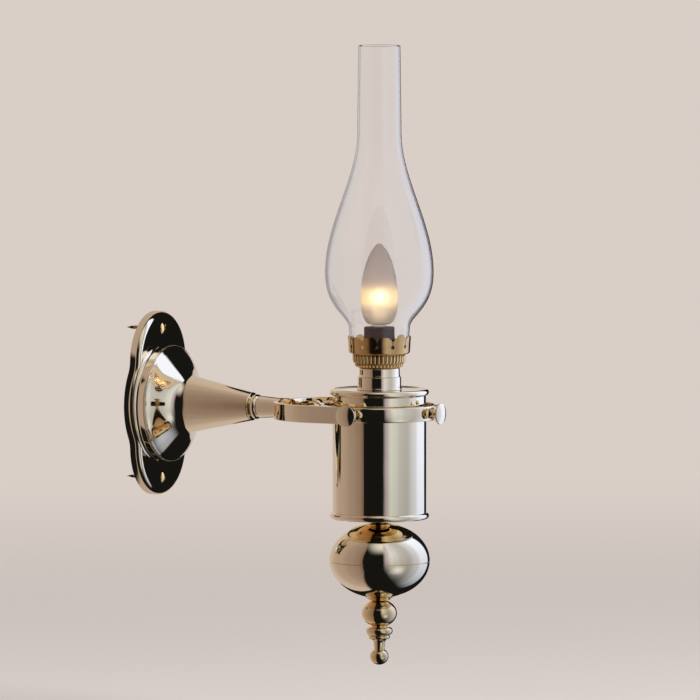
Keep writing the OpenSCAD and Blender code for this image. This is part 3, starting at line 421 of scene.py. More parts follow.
# %% [markdown]
# ## The wall plate
# The plate is a casting: a middle disc with two ears, softened all round the front, hollow behind. Its
# outline is eight arcs, drawn once and filled. Extruding gives the thickness, a bevel on the front edge
# gives the broad bright band, and an inset at the back gives the rim that meets the wall.

# %% Plate outline
DISC_R, EAR_R, EAR_RISE = 59, 47, 40.5
HOLLOW_R = 25
# A hollow's centre lies where circles round the disc's and the ear's centres cross
near, far = DISC_R + HOLLOW_R, EAR_R + HOLLOW_R
hollow_z = (near**2 - far**2 + EAR_RISE**2) / (2 * EAR_RISE)
hollow_x = sqrt(near**2 - hollow_z**2)
to_disc = degrees(atan2(hollow_z, hollow_x))
to_ear = degrees(atan2(hollow_z - EAR_RISE, hollow_x))
outline = (
    arc(0, 0, DISC_R, DISC_R, -to_disc, to_disc, 22)
    + arc(hollow_x, hollow_z, HOLLOW_R, HOLLOW_R, 180 + to_disc, 180 + to_ear, 8)[1:]
    + arc(0, EAR_RISE, EAR_R, EAR_R, to_ear, 180 - to_ear, 64)[1:]
    + arc(-hollow_x, hollow_z, HOLLOW_R, HOLLOW_R, -to_ear, -to_disc, 8)[1:]
    + arc(0, 0, DISC_R, DISC_R, 180 - to_disc, 180 + to_disc, 22)[1:]
    + arc(-hollow_x, -hollow_z, HOLLOW_R, HOLLOW_R, to_disc, to_ear, 8)[1:]
    + arc(0, -EAR_RISE, EAR_R, EAR_R, 180 + to_ear, 360 - to_ear, 64)[1:]
    + arc(hollow_x, -hollow_z, HOLLOW_R, HOLLOW_R, 180 - to_ear, 180 - to_disc, 8)[1:-1]
)
print("plate outline:", len(outline), "points, height in mm:", 2 * (EAR_RISE + EAR_R))

# %% Plate body
PLATE_T, PLATE_EDGE, PLATE_WALL = 10.3, 5.2, 2.4
OPENING_R, OPENING_LOW, OPENING_HIGH = 52.8, 6.5, 12.5
plate = draw("plate_casting", [Vector((x, 0, z)) * MM for x, z in outline], closed=True)
bpy.ops.mesh.edge_face_add()
bpy.ops.mesh.extrude_region_move(TRANSFORM_OT_translate={"value": (0, -PLATE_T * MM, 0)})
bpy.ops.mesh.bevel(offset=PLATE_EDGE * MM, segments=14, profile=0.5, affect="EDGES")
weld()
pick(plate, lambda centre, normal: normal.y < -0.99)
bpy.ops.mesh.inset(thickness=0.4 * MM)
pick(plate, lambda centre, normal: normal.y > 0.99 and centre.y > -MM)
bpy.ops.mesh.inset(thickness=PLATE_WALL * MM)
bpy.ops.mesh.extrude_region_move(TRANSFORM_OT_translate={"value": (0, -(PLATE_T - PLATE_WALL) * MM, 0)})
weld()
deselect()
bpy.ops.mesh.primitive_cylinder_add(
    vertices=144, radius=OPENING_R * MM, depth=(OPENING_HIGH - OPENING_LOW) * MM,
    location=(0, -(OPENING_LOW + OPENING_HIGH) / 2 * MM, 0), rotation=(pi / 2, 0, 0),
)
cut(plate, bpy.context.object)
print("plate body:", len(plate.data.polygons), "faces")

# %% Pedestal on the plate, with the cove at its foot
PEDESTAL_R, PEDESTAL_V, COVE = 55.2, 19.1, 3.4
pedestal = turn(
    "pedestal",
    [(53.4, 9.4), (58.3, 9.4), (58.6, 9.9)]
    + arc(PEDESTAL_R + COVE, PLATE_T + COVE, COVE, COVE, 270, 180, 10)
    + soft([(PEDESTAL_R, 14.5), (PEDESTAL_R, PEDESTAL_V, 0.7), (ROD_BORE, PEDESTAL_V)])
    + [(ROD_BORE, PEDESTAL_V - PLATE_WALL), (PEDESTAL_R - PLATE_WALL, PEDESTAL_V - PLATE_WALL),
       (PEDESTAL_R - PLATE_WALL, 9.4)],
    lathe="arm",
)
SCREW_Z = 71.0
boss = turn("boss", [(2.5, 0.05), (6.6, 0.05), (7, 0.45), (7, 9.2), (2.5, 9.2)], lathe="arm", steps=48)
raise_piece(boss, SCREW_Z)
join(plate, pedestal, boss, copy_turned(boss, "boss_low", pi, centre=(0, 0, 0), axis="Y"))
seat(plate, "bracket", pale_brass, ["wall_plate"])

# %% [markdown]
# ## The wall screws
# Each raised countersunk head is a turned button with a slot. The slot is cut with a bar, and the thread
# behind the wall is a small tooth that a Screw modifier winds up the shank.

# %% Wall screws
HEAD_R, DOME = 5.8, 1.7
SLOT_W, SLOT_D, PITCH = 1.7, 2.4, 1.9
dome_round = (HEAD_R**2 + DOME**2) / (2 * DOME)
dome_angle = degrees(atan2(HEAD_R, dome_round - DOME))
screw = turn(
    "wall_screw_pair",
    arc(0, PLATE_T + DOME - dome_round, dome_round, dome_round, 90, 90 - dome_angle, 12)
    + [(HEAD_R, PLATE_T - 0.1), (2.4, PLATE_T - 3.4), (2.4, -0.5), (1.55, -1.0), (1.5, -24), (0, -30)],
    lathe="arm", steps=48,
)
cut(screw, bar("slot", (14, SLOT_D, SLOT_W), (0, -(PLATE_T + DOME), 0), (0, -60, 0)))
tooth = ((1.4, -22.6), (2.1, -22.1), (2.1, -21.9), (1.4, -21.4))
thread = draw("thread", [on_lathe("arm", r, h) for r, h in tooth], closed=True)
bpy.ops.mesh.edge_face_add()
close()
apply(thread, "SCREW", axis="Y", angle=2 * pi, screw_offset=-PITCH * MM, iterations=11, steps=20,
      render_steps=20)
edit(thread)
weld()
join(screw, thread)
raise_piece(screw, SCREW_Z)
pair = join(screw, copy_turned(screw, "wall_screw_low", pi, centre=(0, 0, 0), axis="Y"))
seat(pair, "bracket", golden_brass, ["wall_screws"], smooth=30)

# %% [markdown]
# ## The arm
# The trumpet bell is spun from sheet. A long curve runs from the rim to the throat, and a straight cone
# runs on to the nose, where a bead and a tapered neck lead to the fork.

# %% Trumpet bell and cone
BELL_R, BELL_V, THROAT_R, THROAT_V = 55.0, 20.7, 26.3, 45.0
CONE_R, CONE_V = 13.3, 107.0
reach = THROAT_V - BELL_V
bell = turn(
    "trumpet_bell",
    soft([(52, PEDESTAL_V), (BELL_R, PEDESTAL_V, 0.5), (BELL_R, BELL_V, 0.55), (BELL_R - 1.6, BELL_V + 0.9)])
    + curve((BELL_R - 1.6, BELL_V + 0.9), (BELL_R - 8.5, BELL_V + 0.28 * reach),
            (THROAT_R + 2.9, BELL_V + 0.5 * reach), (THROAT_R, THROAT_V), 40)
    + curve((THROAT_R, THROAT_V), (THROAT_R - 2.2, THROAT_V + 10), (THROAT_R - 4.1, THROAT_V + 19),
            (THROAT_R - 6.0, THROAT_V + 28), 12)
    + soft([(THROAT_R - 6.0, THROAT_V + 28), (CONE_R, CONE_V, 0.8), (ROD_BORE, CONE_V)])[1:]
    + [(ROD_BORE, CONE_V - 2), (CONE_R - 1.6, CONE_V - 2), (THROAT_R - 1.3, THROAT_V)]
    + curve((THROAT_R - 1.3, THROAT_V), (THROAT_R + 1.2, BELL_V + 0.45 * reach),
            (BELL_R - 10, BELL_V + 0.2 * reach), (52, BELL_V - 0.2), 12),
    lathe="arm",
)
seat(bell, "bracket", pale_brass, ["bell"])

# %% Nose bead and neck
NOSE_V, YOKE_V = 115.2, 137.6
nose = turn(
    "nose_bead",
    [(ROD_BORE, CONE_V + 0.02), (9.2, CONE_V + 0.02), (9.2, CONE_V + 0.5)]
    + arc(7.95, CONE_V + 4.2, 3.85, 3.7, -68, 68, 18)
    + [(9.4, NOSE_V - 0.3), (9.2, NOSE_V), (ROD_BORE, NOSE_V)],
    lathe="arm",
)
seat(nose, "bracket", pale_brass, ["nose_collar"])
neck = turn(
    "fork_neck_turned",
    soft([(ROD_BORE, NOSE_V + 0.02), (10.7, NOSE_V + 0.02, 0.7), (9.3, YOKE_V - 2.5, 3), (9.2, YOKE_V + 0.8)])
    + [(ROD_BORE, YOKE_V + 0.2)],
    lathe="arm",
)
seat(neck, "bracket", pale_brass, ["fork_neck"])

# %% [markdown]
# ## The fork
# The fork is one bent strap with round ends. Half of an end and an arm are drawn and filled, the strap's
# edge is spun half way round for the bow, and a mirrored arm closes it. Solidify gives the strap its
# thickness and a bevel breaks the edges, so that they catch a line of light.

# %% Fork strap
FORK_IN, FORK_T, FORK_H = 60, 4.2, 16
ARM_LEN = 40.2
BOW = Vector((0, -(LAMP_V - ARM_LEN), 0)) * MM
strap_r = (FORK_IN + FORK_T / 2) * MM
half_h = FORK_H / 2
side_line = [(0, half_h)] + arc(-ARM_LEN, 0, half_h, half_h, 90, 270, 24) + [(0, -half_h)]
arms = []
for side in (-1, 1):
    flat = [Vector((side * strap_r, BOW.y + y * MM, z * MM)) for y, z in side_line]
    arm = draw(f"arm{side}", flat, closed=True)
    bpy.ops.mesh.edge_face_add()
    close()
    arms.append(arm)
fork = join(*arms)
fork.name = fork.data.name = "fork_strap"
edit(fork)
bpy.ops.mesh.select_mode(type="EDGE")
bpy.ops.mesh.select_all(action="DESELECT")
close()
for edge in fork.data.edges:
    ends = [fork.data.vertices[i].co for i in edge.vertices]
    edge.select = all(abs(p.y - BOW.y) < 1e-5 and p.x > 0 for p in ends)
bpy.ops.object.mode_set(mode="EDIT")
bpy.ops.mesh.spin(steps=72, angle=pi, center=BOW, axis=(0, 0, -1))
weld()
close()
apply(fork, "SOLIDIFY", thickness=FORK_T * MM, offset=0, use_even_offset=True)
apply(fork, "BEVEL", width=0.7 * MM, segments=4, limit_method="ANGLE", angle_limit=radians(40))
seat(fork, "bracket", pale_brass, ["fork_yoke"])

# %% [markdown]
# ## Pivot screws and the gimbal ring
# The fork's screws and the ring's screws share one flat, round, polished head. Its face is very slightly
# domed, which bends the edge of a reflection as the photograph shows. The ring is a turned band.


# %% Pivot screws
HEAD_FOOT, HEAD_RADIUS, HEAD_RIM, HEAD_THICK, HEAD_DOME = 7.5, 10.0, 3.2, 6.6, 2.0


def head_line(low):
    """The outside of a pivot screw's head from its foot to the middle of its face."""
    top = low + HEAD_THICK
    lip = top - HEAD_DOME
    dome = (HEAD_RADIUS**2 + HEAD_DOME**2) / (2 * HEAD_DOME)
    edge = degrees(atan2(HEAD_RADIUS - 0.5, dome - HEAD_DOME))
    return (
        soft([(HEAD_FOOT, low), (HEAD_FOOT, low + 0.01), (HEAD_RADIUS, top - HEAD_RIM, 0.5),
              (HEAD_RADIUS, lip, 0.5), (HEAD_RADIUS - 0.6, lip + 0.09)])
        + arc(0, top - dome, dome, dome, 90 - edge, 90, 10)
    )


def pivot_screws(name, lathe, shank, head_low, body, node):
    """A turned screw and its twin across the lamp."""
    screw = turn(f"{name}_a", [(0, shank[0][1])] + shank + head_line(head_low), lathe=lathe, steps=96)
    for piece in (screw, copy_turned(screw, f"{name}_b", pi)):
        seat(piece, body, pale_brass, [node], smooth=32)


FORK_SHANK = [(2.8, 52.2), (3, 52.4), (3, 60.05), (3.5, 60.05), (3.5, 64.2)]
RING_SHANK = [(2.8, 39.2), (3, 39.4), (3, 52.0), (3.5, 52.0), (3.5, 55.8), (5.6, 55.85), (6, 56.2),
              (6, 60.99)]
pivot_screws("fork_screw", "fork_pivot", FORK_SHANK, 64.2, "bracket", "fork_pivot_screws")
pivot_screws("ring_screw", "ring_pivot", RING_SHANK, 61.0, "ring", "ring_pivot_screws")

# %% Gimbal ring
RING_IN, RING_OUT, RING_HALF, RING_BULGE = 52.0, 55.8, 7.0, 0.9
edge_z = RING_HALF - 1.0
bulge_r = (edge_z**2 + RING_BULGE**2) / (2 * RING_BULGE)
bulge_angle = degrees(atan2(edge_z, bulge_r - RING_BULGE))
ring = turn(
    "gimbal_band",
    [(53.0, -RING_HALF), (54.0, -RING_HALF + 0.05), (54.6, -RING_HALF + 0.4)]
    + arc(RING_OUT - bulge_r, 0, bulge_r, bulge_r, -bulge_angle, bulge_angle, 20)
    + [(54.6, RING_HALF - 0.4), (54.0, RING_HALF - 0.05)]
    + soft([(53.0, RING_HALF), (RING_IN, RING_HALF, 0.8), (RING_IN, -RING_HALF, 0.8), (53.0, -RING_HALF)])[:-1],
    steps=192,
)
seat(ring, "ring", pale_brass, ["gimbal_ring"])

# %% [markdown]
# ## Reservoir, lid and collars
# The reservoir is a plain can with a rolled foot. The lid has a rolled rim over a straight skirt, and two
# collars stand on it. All are turned, and each keeps its own wall, because the lamp can be seen from below.

# %% Reservoir
TANK_R, ROLL_R, ROLL_CENTRE = 44.2, 3.05, 43.8
tank = turn(
    "reservoir_can",
    [(0, -99.5), (40, -99.5)] + arc(40.6, -97.0, 2.4, 2.4, -80, 0, 5)
    + [(43.0, 4.8), (41.43, 4.8), (41.43, 13.9), (41.7, 14.0), (42.4, 14.0), (42.63, 13.8), (42.63, 6.0)]
    + soft([(42.7, 6.0), (TANK_R, 6.0, 0.4), (TANK_R, -93.4)])[1:]
    + arc(ROLL_CENTRE, -97.95, ROLL_R, ROLL_R, 82, -90, 22)
    + soft([(41, -101.0), (38.5, -100.4, 1.2), (12, -100.4, 1.0), (11.4, -101.0)])
    + [(0, -101.0)],
    steps=192,
)
seat(tank, "lamp", pale_brass, ["reservoir"])

# %% Lid and its screws
LID_R = 43.9
lid = turn(
    "lid_rolled",
    soft([(42.75, 7), (42.75, 6.1, 0.3), (LID_R, 6.1, 0.4), (LID_R, 15.2)])
    + arc(43.7, 18.5, ROLL_R, ROLL_R, -80, 118, 26)
    + soft([(41.9, 20.9), (40.6, 20.6, 1.0), (ROD_BORE, 20.8)])
    + [(ROD_BORE, 18.5), (41.6, 18.5), (42.75, 17.4)],
    steps=192,
)
seat(lid, "lamp", pale_brass, ["lid"])
SCREW_TURN, SCREW_HEIGHT = -97.6, 10.4
heading = radians(SCREW_TURN)
outward = Vector((cos(heading), sin(heading), 0))
LATHES["lid_screw"] = (LAMP + Vector((0, 0, SCREW_HEIGHT * MM)), outward, Vector((0, 0, 1)))
screw = turn(
    "lid_screw_set",
    [(0, 39.5), (1.2, 39.5), (1.2, 43.95), (2.2, 43.95), (2.2, 44.3)] + arc(0, 42.8, 2.6, 2.6, 36, 90, 8),
    lathe="lid_screw", steps=32,
)
slot_at = LAMP / MM + 45.7 * outward + Vector((0, 0, SCREW_HEIGHT))
cut(screw, bar("slot", (1.6, 6, 0.5), slot_at, (20, 0, SCREW_TURN)))
trio = join(screw, *[copy_turned(screw, f"lid_screw{i}", 2 * pi / 3 * i) for i in (1, 2)])
seat(trio, "lamp", golden_brass, ["lid_screws"], smooth=30)

# %% Collars under the burner
low_collar = turn(
    "collar_low",
    soft([(19.3, 20.85), (21.2, 20.85, 0.3), (21.0, 22.0, 0.5), (20.6, 22.8, 0.4), (20.6, 32.4, 0.3),
          (20.8, 33.0, 0.4), (20.2, 33.1), (ROD_BORE, 33.1)])
    + [(ROD_BORE, 31.6), (19.3, 31.6)],
)
top_collar = turn(
    "collar_top",
    soft([(18.2, 33.15), (19.8, 33.15, 0.3), (19.6, 34.2, 0.4), (19.3, 35.0, 0.4), (19.3, 40.4, 0.4),
          (18.9, 41.2, 0.3), (ROD_BORE, 41.2)])
    + [(ROD_BORE, 39.7), (18.2, 39.7)],
)
seat(low_collar, "lamp", pale_brass, ["lower_collar"])
seat(top_collar, "lamp", pale_brass, ["upper_collar"])

# %% [markdown]
# ## The burner
# The bowl is pressed from thinner, yellower brass: long upright beads over a tier of small ones. One bead
# is shaped from a sphere and spun round the bowl as duplicates, which is quicker than forty placings.

# %% Bowl
BOWL_Z = 41.2
bowl_side = curve((18.8, BOWL_Z), (21.2, BOWL_Z + 1.4), (23.3, BOWL_Z + 4.2), (24.0, BOWL_Z + 7.2), 12)
bowl = turn(
    "burner_bowl_pressed",
    [(ROD_BORE, BOWL_Z), (18.8, BOWL_Z)] + bowl_side
    + [(24.1, BOWL_Z + 12.9), (25.0, BOWL_Z + 13.0), (25.1, BOWL_Z + 13.5), (25.0, BOWL_Z + 14),
       (23.1, BOWL_Z + 14), (22.9, BOWL_Z + 8), (20.2, BOWL_Z + 2.4), (18, BOWL_Z + 1.0),
       (ROD_BORE, BOWL_Z + 1.0)],
)


def spin_copies(count):
    """Repeats what is selected in edit mode round the lamp's axis."""
    share = (count - 1) / count
    bpy.ops.mesh.spin(steps=count - 1, dupli=True, angle=2 * pi * share, center=LAMP, axis=(0, 0, 1))


def bead_row(name, count, radius, height, wide, tall, lean, offset=0.0):
    """One stretched bead, spun round the lamp's axis as duplicates."""
    deselect()
    bpy.ops.mesh.primitive_uv_sphere_add(segments=12, ring_count=8, radius=MM)
    row = bpy.context.object
    row.name = row.data.name = name
    edit(row)
    bpy.ops.transform.resize(value=(wide, wide, tall))
    bpy.ops.transform.rotate(value=radians(lean), orient_axis="Y", center_override=(0, 0, 0))
    bpy.ops.transform.translate(value=on_lathe("lamp", radius, height))
    bpy.ops.transform.rotate(value=radians(offset), orient_axis="Z", center_override=LAMP)
    spin_copies(count)
    close()
    return row


BEADS = 40
long_beads = bead_row("bowl_beads", BEADS, 23.9, 50.0, 1.25, 4.3, -7)
small_beads = bead_row("small_beads", BEADS, 21.6, 43.8, 1.15, 1.9, -42, offset=4.5)
seat(bowl, "lamp", dark_bowl_brass, ["burner_bowl"])
seat(join(long_beads, small_beads), "lamp", golden_brass, ["burner_bowl"])

# %% [markdown]
# The gallery that grips the glass is a thin cup, slit into twelve round petals. The cup is turned first.
# One gap is then drawn as it would be filed: a keyhole, a slit, and two arcs that open upward. It is
# extruded through the wall, spun round as duplicates, and cut out in one go.

# %% Gallery crown
PETALS, CROWN_R, CROWN_Z, CROWN_TOP, FLARE, PETAL_T = 12, 28.95, 55.2, 71.1, 1.0, 0.6
KEYHOLE_R, KEYHOLE_Z, NOTCH_Z, SLIT = 1.9, 62.0, 66.2, 0.35
crown = turn(
    "gallery_petals",
    [(24.2, CROWN_Z - 0.9), (25.6, CROWN_Z - 0.9)]
    + soft([(25.7, CROWN_Z - 0.8), (CROWN_R - 0.2, CROWN_Z, 1.7), (CROWN_R + 0.1, CROWN_Z + 4),
            (CROWN_R + 0.35, CROWN_Z + 9), (CROWN_R + FLARE, CROWN_TOP)], n=6)
    + [(CROWN_R + FLARE - 0.3, CROWN_TOP + 0.12), (CROWN_R + FLARE - PETAL_T, CROWN_TOP),
       (CROWN_R + 0.35 - PETAL_T, CROWN_Z + 9), (CROWN_R - 0.2 - PETAL_T, CROWN_Z + 1.2), (25.9, CROWN_Z + 0.4),
       (24.2, CROWN_Z + 0.2)],
    steps=240,
)
half = CROWN_R * sin(pi / PETALS) + 0.1
rise = CROWN_TOP - NOTCH_Z + 0.25
side_r = (half**2 + rise**2) / (2 * rise)
swing = degrees(atan2(half, side_r - rise))
right_arc = [(half - side_r * cos(radians(90 - w)), NOTCH_Z + rise - side_r + side_r * sin(radians(90 - w)))
             for w in [swing * (1 - i / 10) for i in range(11)]]
right_arc = [(max(x, SLIT), z) for x, z in right_arc]
gap = (
    [(KEYHOLE_R * sin(radians(a)), KEYHOLE_Z + KEYHOLE_R * cos(radians(a))) for a in range(11, 350, 13)]
    + [(-SLIT, NOTCH_Z)] + [(-x, z) for x, z in right_arc[1:]] + [(-half, 74), (half, 74)]
    + right_arc[:0:-1] + [(SLIT, NOTCH_Z)]
)
cutter = draw("gap", [LAMP + Vector((25.9, y, z)) * MM for y, z in gap], closed=True)
bpy.ops.mesh.edge_face_add()
bpy.ops.mesh.extrude_region_move(TRANSFORM_OT_translate={"value": (6 * MM, 0, 0)})
weld()
bpy.ops.transform.rotate(value=radians(6.3), orient_axis="Z", center_override=LAMP)
spin_copies(PETALS)
close()
cut(crown, cutter, overlapping=True)
seat(crown, "lamp", crown_brass, ["gallery_crown"], smooth=30)

# %% Lamp holder
holder = turn(
    "holder_can",
    soft([(ROD_BORE, 46.6), (14.4, 46.6, 0.6), (14.4, 79.9, 0.9), (13.2, 80.7, 0.4), (10.4, 80.7, 0.4),
          (10.4, 78.7), (13.2, 78.7)])
    + [(13.2, 47.8), (ROD_BORE, 47.8)],
    steps=96,
)
print("holder:", len(holder.data.polygons), "faces")

# %% [markdown]
# ## Ball and finial
# The ball is two spun shells with a fine open seam. Below it hangs a turned drop: cup, egg, two beads,
# waist and end ball. Its line is long, so it is written as arcs that follow each other down.

# %% Ball shells
BALL_R, BALL_H, BALL_Z, BALL_WALL = 47.6, 36.0, -140.4, 1.5
SEAM, SEAM_GAP = -1.0, 0.16


def ball_angle(height):
    """The angle on the ball's outline at a height above its middle."""
    return degrees(atan2(height / BALL_H, sqrt(max(0, 1 - (height / BALL_H) ** 2))))


low_edge, high_edge = ball_angle(SEAM + SEAM_GAP), ball_angle(SEAM - SEAM_GAP)
upper = turn(
    "ball_top",
    arc(0, BALL_Z, BALL_R, BALL_H, low_edge + 0.5, 88, 56)
    + arc(0, BALL_Z, BALL_R - BALL_WALL, BALL_H - BALL_WALL, 88, low_edge, 20)
    + [(BALL_R - 0.4, BALL_Z + SEAM + SEAM_GAP)],
    steps=192,
)
lower = turn(
    "ball_bottom",
    arc(0, BALL_Z, BALL_R, BALL_H, high_edge - 0.5, -88, 56)
    + arc(0, BALL_Z, BALL_R - BALL_WALL, BALL_H - BALL_WALL, -88, high_edge - 8, 20)
    + [(44.2, BALL_Z - 5), (44.2, BALL_Z + 3), (45.3, BALL_Z + 3), (45.3, BALL_Z - 1.5),
       (BALL_R - 0.4, BALL_Z + SEAM - SEAM_GAP)],
    steps=192,
)
seat(upper, "lamp", pale_brass, ["ball_upper"])
seat(lower, "lamp", pale_brass, ["ball_lower"])
throat = turn(
    "ball_throat",
    [(DROP_BORE, -104.4), (10.4, -104.4)] + arc(9.8, -102.7, 1.7, 1.6, -70, 70, 12)
    + [(10.4, -101.05), (DROP_BORE, -101.05)],
    steps=96,
)
seat(throat, "lamp", golden_brass, ["ball_neck"])

# %% Cup and finial
cup = turn(
    "finial_cup_turned",
    [(DROP_BORE, -177.85), (9.6, -177.85), (10.0, -177.5)]
    + curve((10.0, -177.5), (10.3, -176.6), (12.3, -175.9), (13.2, -175.3), 8)
    + [(13.4, -175.0), (12.9, -175.05), (8, -175.95), (DROP_BORE, -176.3)],
    steps=96,
)
seat(cup, "lamp", pale_brass, ["finial_cup"])
finial = turn(
    "finial_drop",
    [(DROP_BORE, -178.0), (6.6, -178.0)]
    + arc(0, -190.3, 16.7, 13.2, 68, -63, 30)
    + [(7.4, -202.3), (7.5, -203.0)]
    + arc(8.8, -207.0, 3.9, 3.9, 96, -84, 18)
    + [(8.9, -211.1)]
    + arc(8.4, -212.8, 1.8, 1.8, 80, -82, 12)
    + curve((8.2, -214.6), (6.9, -215.0), (5.7, -216.4), (5.4, -218.6), 8)
    + curve((5.4, -218.6), (5.2, -220.4), (4.9, -222.3), (5.0, -223.6), 6)
    + arc(0, -231.2, 8.8, 7.9, 61, -90, 26)[1:-1]
    + [(0, -239.1), (0, -190.5), (DROP_BORE, -190.5)],
    steps=128,
)
seat(finial, "lamp", turned_brass, ["finial"])

# %% [markdown]
# ## Glass
# The chimney is blown glass, 1.5 mm thick, with softened rims. Real wall thickness is what makes the edges
# of a tube darken and streak, so both sides of the wall are modelled; the glass's colour adds a painted dark
# outline and painted bluish reflection bands. The bulb is thinner and frosted.

# %% Chimney
CHIMNEY_Z = 56.5
GLASS_T = 1.5
chimney_out = (
    [(28.2, 0.6), (28.2, 15.9)]
    + curve((28.2, 15.9), (28.3, 18), (28.6, 20), (28.7, 22), 6)
    + curve((28.7, 22), (28.7, 34), (51.1, 39.7), (51.1, 74.7), 40)
    + curve((51.1, 74.7), (51.1, 121), (20.8, 162.9), (20.8, 205.7), 52)
    + curve((20.8, 205.7), (20.8, 220), (20.2, 245), (19.8, 287.2), 12)
)


def inner_line(line, wall):
    """The line moved inward by the wall's thickness."""
    moved = []
    for i, point in enumerate(line):
        a, b = Vector(line[max(i - 1, 0)]), Vector(line[min(i + 1, len(line) - 1)])
        step = (b - a).normalized()
        moved.append((point[0] - wall * step.y, point[1] + wall * step.x))
    return moved


chimney_in = inner_line(chimney_out, GLASS_T)
line = (
    chimney_out
    + [(19.3, 287.8), (18.8, 287.8), (chimney_in[-1][0], 287.2)]
    + chimney_in[::-1][1:]
    + [(27.2, 0.0), (27.8, 0.0)]
)
chimney = turn("chimney_blown", [(r, h + CHIMNEY_Z) for r, h in line], steps=192)
print("chimney:", len(chimney.data.polygons), "faces")

# %% Bulb
GLASS_Z, BULB_T = 83.0, 0.8
bulb_out = (
    [(6.14, -9), (6.14, -0.4), (7.4, 0)]
    + curve((7.4, 0), (15, 0.2), (17.5, 10.6), (17.5, 22.6), 24)
    + curve((17.5, 22.6), (17.5, 45), (11.55, 66), (2.45, 74.3), 34)
    + curve((2.45, 74.3), (1.7, 74.8), (0.9, 75), (0, 75), 5)
)
bulb_in = inner_line(bulb_out, BULB_T)[:-7]
bulb = turn(
    "bulb_frosted",
    [(r, h + GLASS_Z) for r, h in bulb_out + [(0, 74.1)] + bulb_in[::-1]],
    steps=96,
)
print("bulb:", len(bulb.data.polygons), "faces")

# %% [markdown]
# ## Clear and frosted glass
# Clear glass needs little: a pale tint that deepens where the wall is seen edge-on, pushed to a painted dark
# outline with painted bluish reflection bands inside it. The frosted bulb lets light through a rough surface;
# a painted glow round the wires' height and the glowing wires inside it do the rest.

# %% Clear glass
glass, tree, shader, place = start_material("chimney_glass")
facing = add(tree, "ShaderNodeLayerWeight", {"Blend": 0.5})
# Base Color by facing: a deeper tint edge-on, then a painted dark outline, with painted bluish reflection bands
# just inside it
edge = ramp(tree, facing.outputs["Facing"], {
    0.20: (0.985, 0.985, 0.992), 0.83: (0.02, 0.01, 0.015), 0.50: (0.95, 0.985, 1.0), 0.65: (0.88, 0.95, 1.0),
    0.73: (0.60, 0.58, 0.65),
})
seeds = add(tree, "ShaderNodeTexNoise", {"Vector": place, "Scale": 22.0, "Detail": 1.0})
ripple = add(tree, "ShaderNodeBump", {"Height": seeds, "Strength": 0.05, "Distance": 0.002})
feed(shader, {"Base Color": edge, "Normal": ripple, "Roughness": 0.0, "IOR": 1.5,
              "Transmission Weight": 1.0})
seat(chimney, "glass", glass, ["chimney"])

# %% Frosted glass: a painted glow on the shell, strongest round the wires' height, stands in for their light spreading in it
GLOW_Z = 108 * MM
frosted, tree, shader, place = start_material("bulb_frosted_glass")
cloud = add(tree, "ShaderNodeTexNoise", {"Vector": place, "Scale": 700.0, "Detail": 2.0})
grain = add(tree, "ShaderNodeMapRange", {"Value": cloud, "To Min": 0.48, "To Max": 0.62})
height = add(tree, "ShaderNodeSeparateXYZ", {0: place})
above = add(tree, "ShaderNodeMath", {0: height.outputs["Z"], 1: GLOW_Z}, operation="SUBTRACT")
away = add(tree, "ShaderNodeMath", {0: above}, operation="ABSOLUTE")
near_wires = add(tree, "ShaderNodeMapRange", {"Value": away, "From Min": 0.002, "From Max": 0.019,
                                              "To Min": 1.0, "To Max": 0.0}, interpolation_type="SMOOTHERSTEP")
# painted glow: emission colour on the bulb's shell, fading away from the wires' height
painted_glow = ramp(tree, near_wires, {0.0: (0.03, 0.02, 0.015), 1.0: (0.70, 0.50, 0.16),
                                            0.45: (0.20, 0.12, 0.05)})
feed(shader, {"Base Color": (0.93, 0.90, 0.90, 1), "Roughness": grain, "IOR": 1.45,
              "Transmission Weight": 0.72, "Emission Color": painted_glow, "Emission Strength": 0.3,
              "Sheen Weight": 0.5, "Sheen Roughness": 0.2})
seat(bulb, "bulb", frosted, ["bulb_glass"])

# %% Lamp holder material
brown, tree, shader, place = start_material("holder_brown")
swirl = add(tree, "ShaderNodeTexNoise", {"Vector": place, "Scale": 120.0, "Detail": 4.0, "Distortion": 1.5})
tone = ramp(tree, swirl, {0.0: (0.055, 0.020, 0.009), 1.0: (0.095, 0.038, 0.018)})
feed(shader, {"Base Color": tone, "Roughness": 0.6, "Specular IOR Level": 0.08})
seat(holder, "lamp", brown, ["holder_shell"])

# %% [markdown]
# ## Pieces that stay as the CAD made them
# Nuts, bushes, washers and the parts inside keep their CAD meshes. Each gets a finish of its own: plated
# steel, rubber, porcelain, cast iron and plastic.


# %% Plain finishes with a little grain
def plain(name, dark, light, rough, metal=0.0, bump=0.1):
    """Two close shades mixed by noise, with a fine bump."""
    material, tree, shader, place = start_material(name)
    noise = add(tree, "ShaderNodeTexNoise", {"Vector": place, "Scale": 300.0, "Detail": 4.0})
    tone = ramp(tree, noise, {0.35: dark, 0.7: light})
    blur = add(tree, "ShaderNodeMapRange", {"Value": noise, "To Min": rough * 0.8,
                                            "To Max": rough * 1.2})
    dent = add(tree, "ShaderNodeBump", {"Height": noise, "Strength": bump, "Distance": 0.0003})
    feed(shader, {"Base Color": tone, "Roughness": blur, "Normal": dent,
                  "Metallic": metal})
    print("finish:", name)
    return material


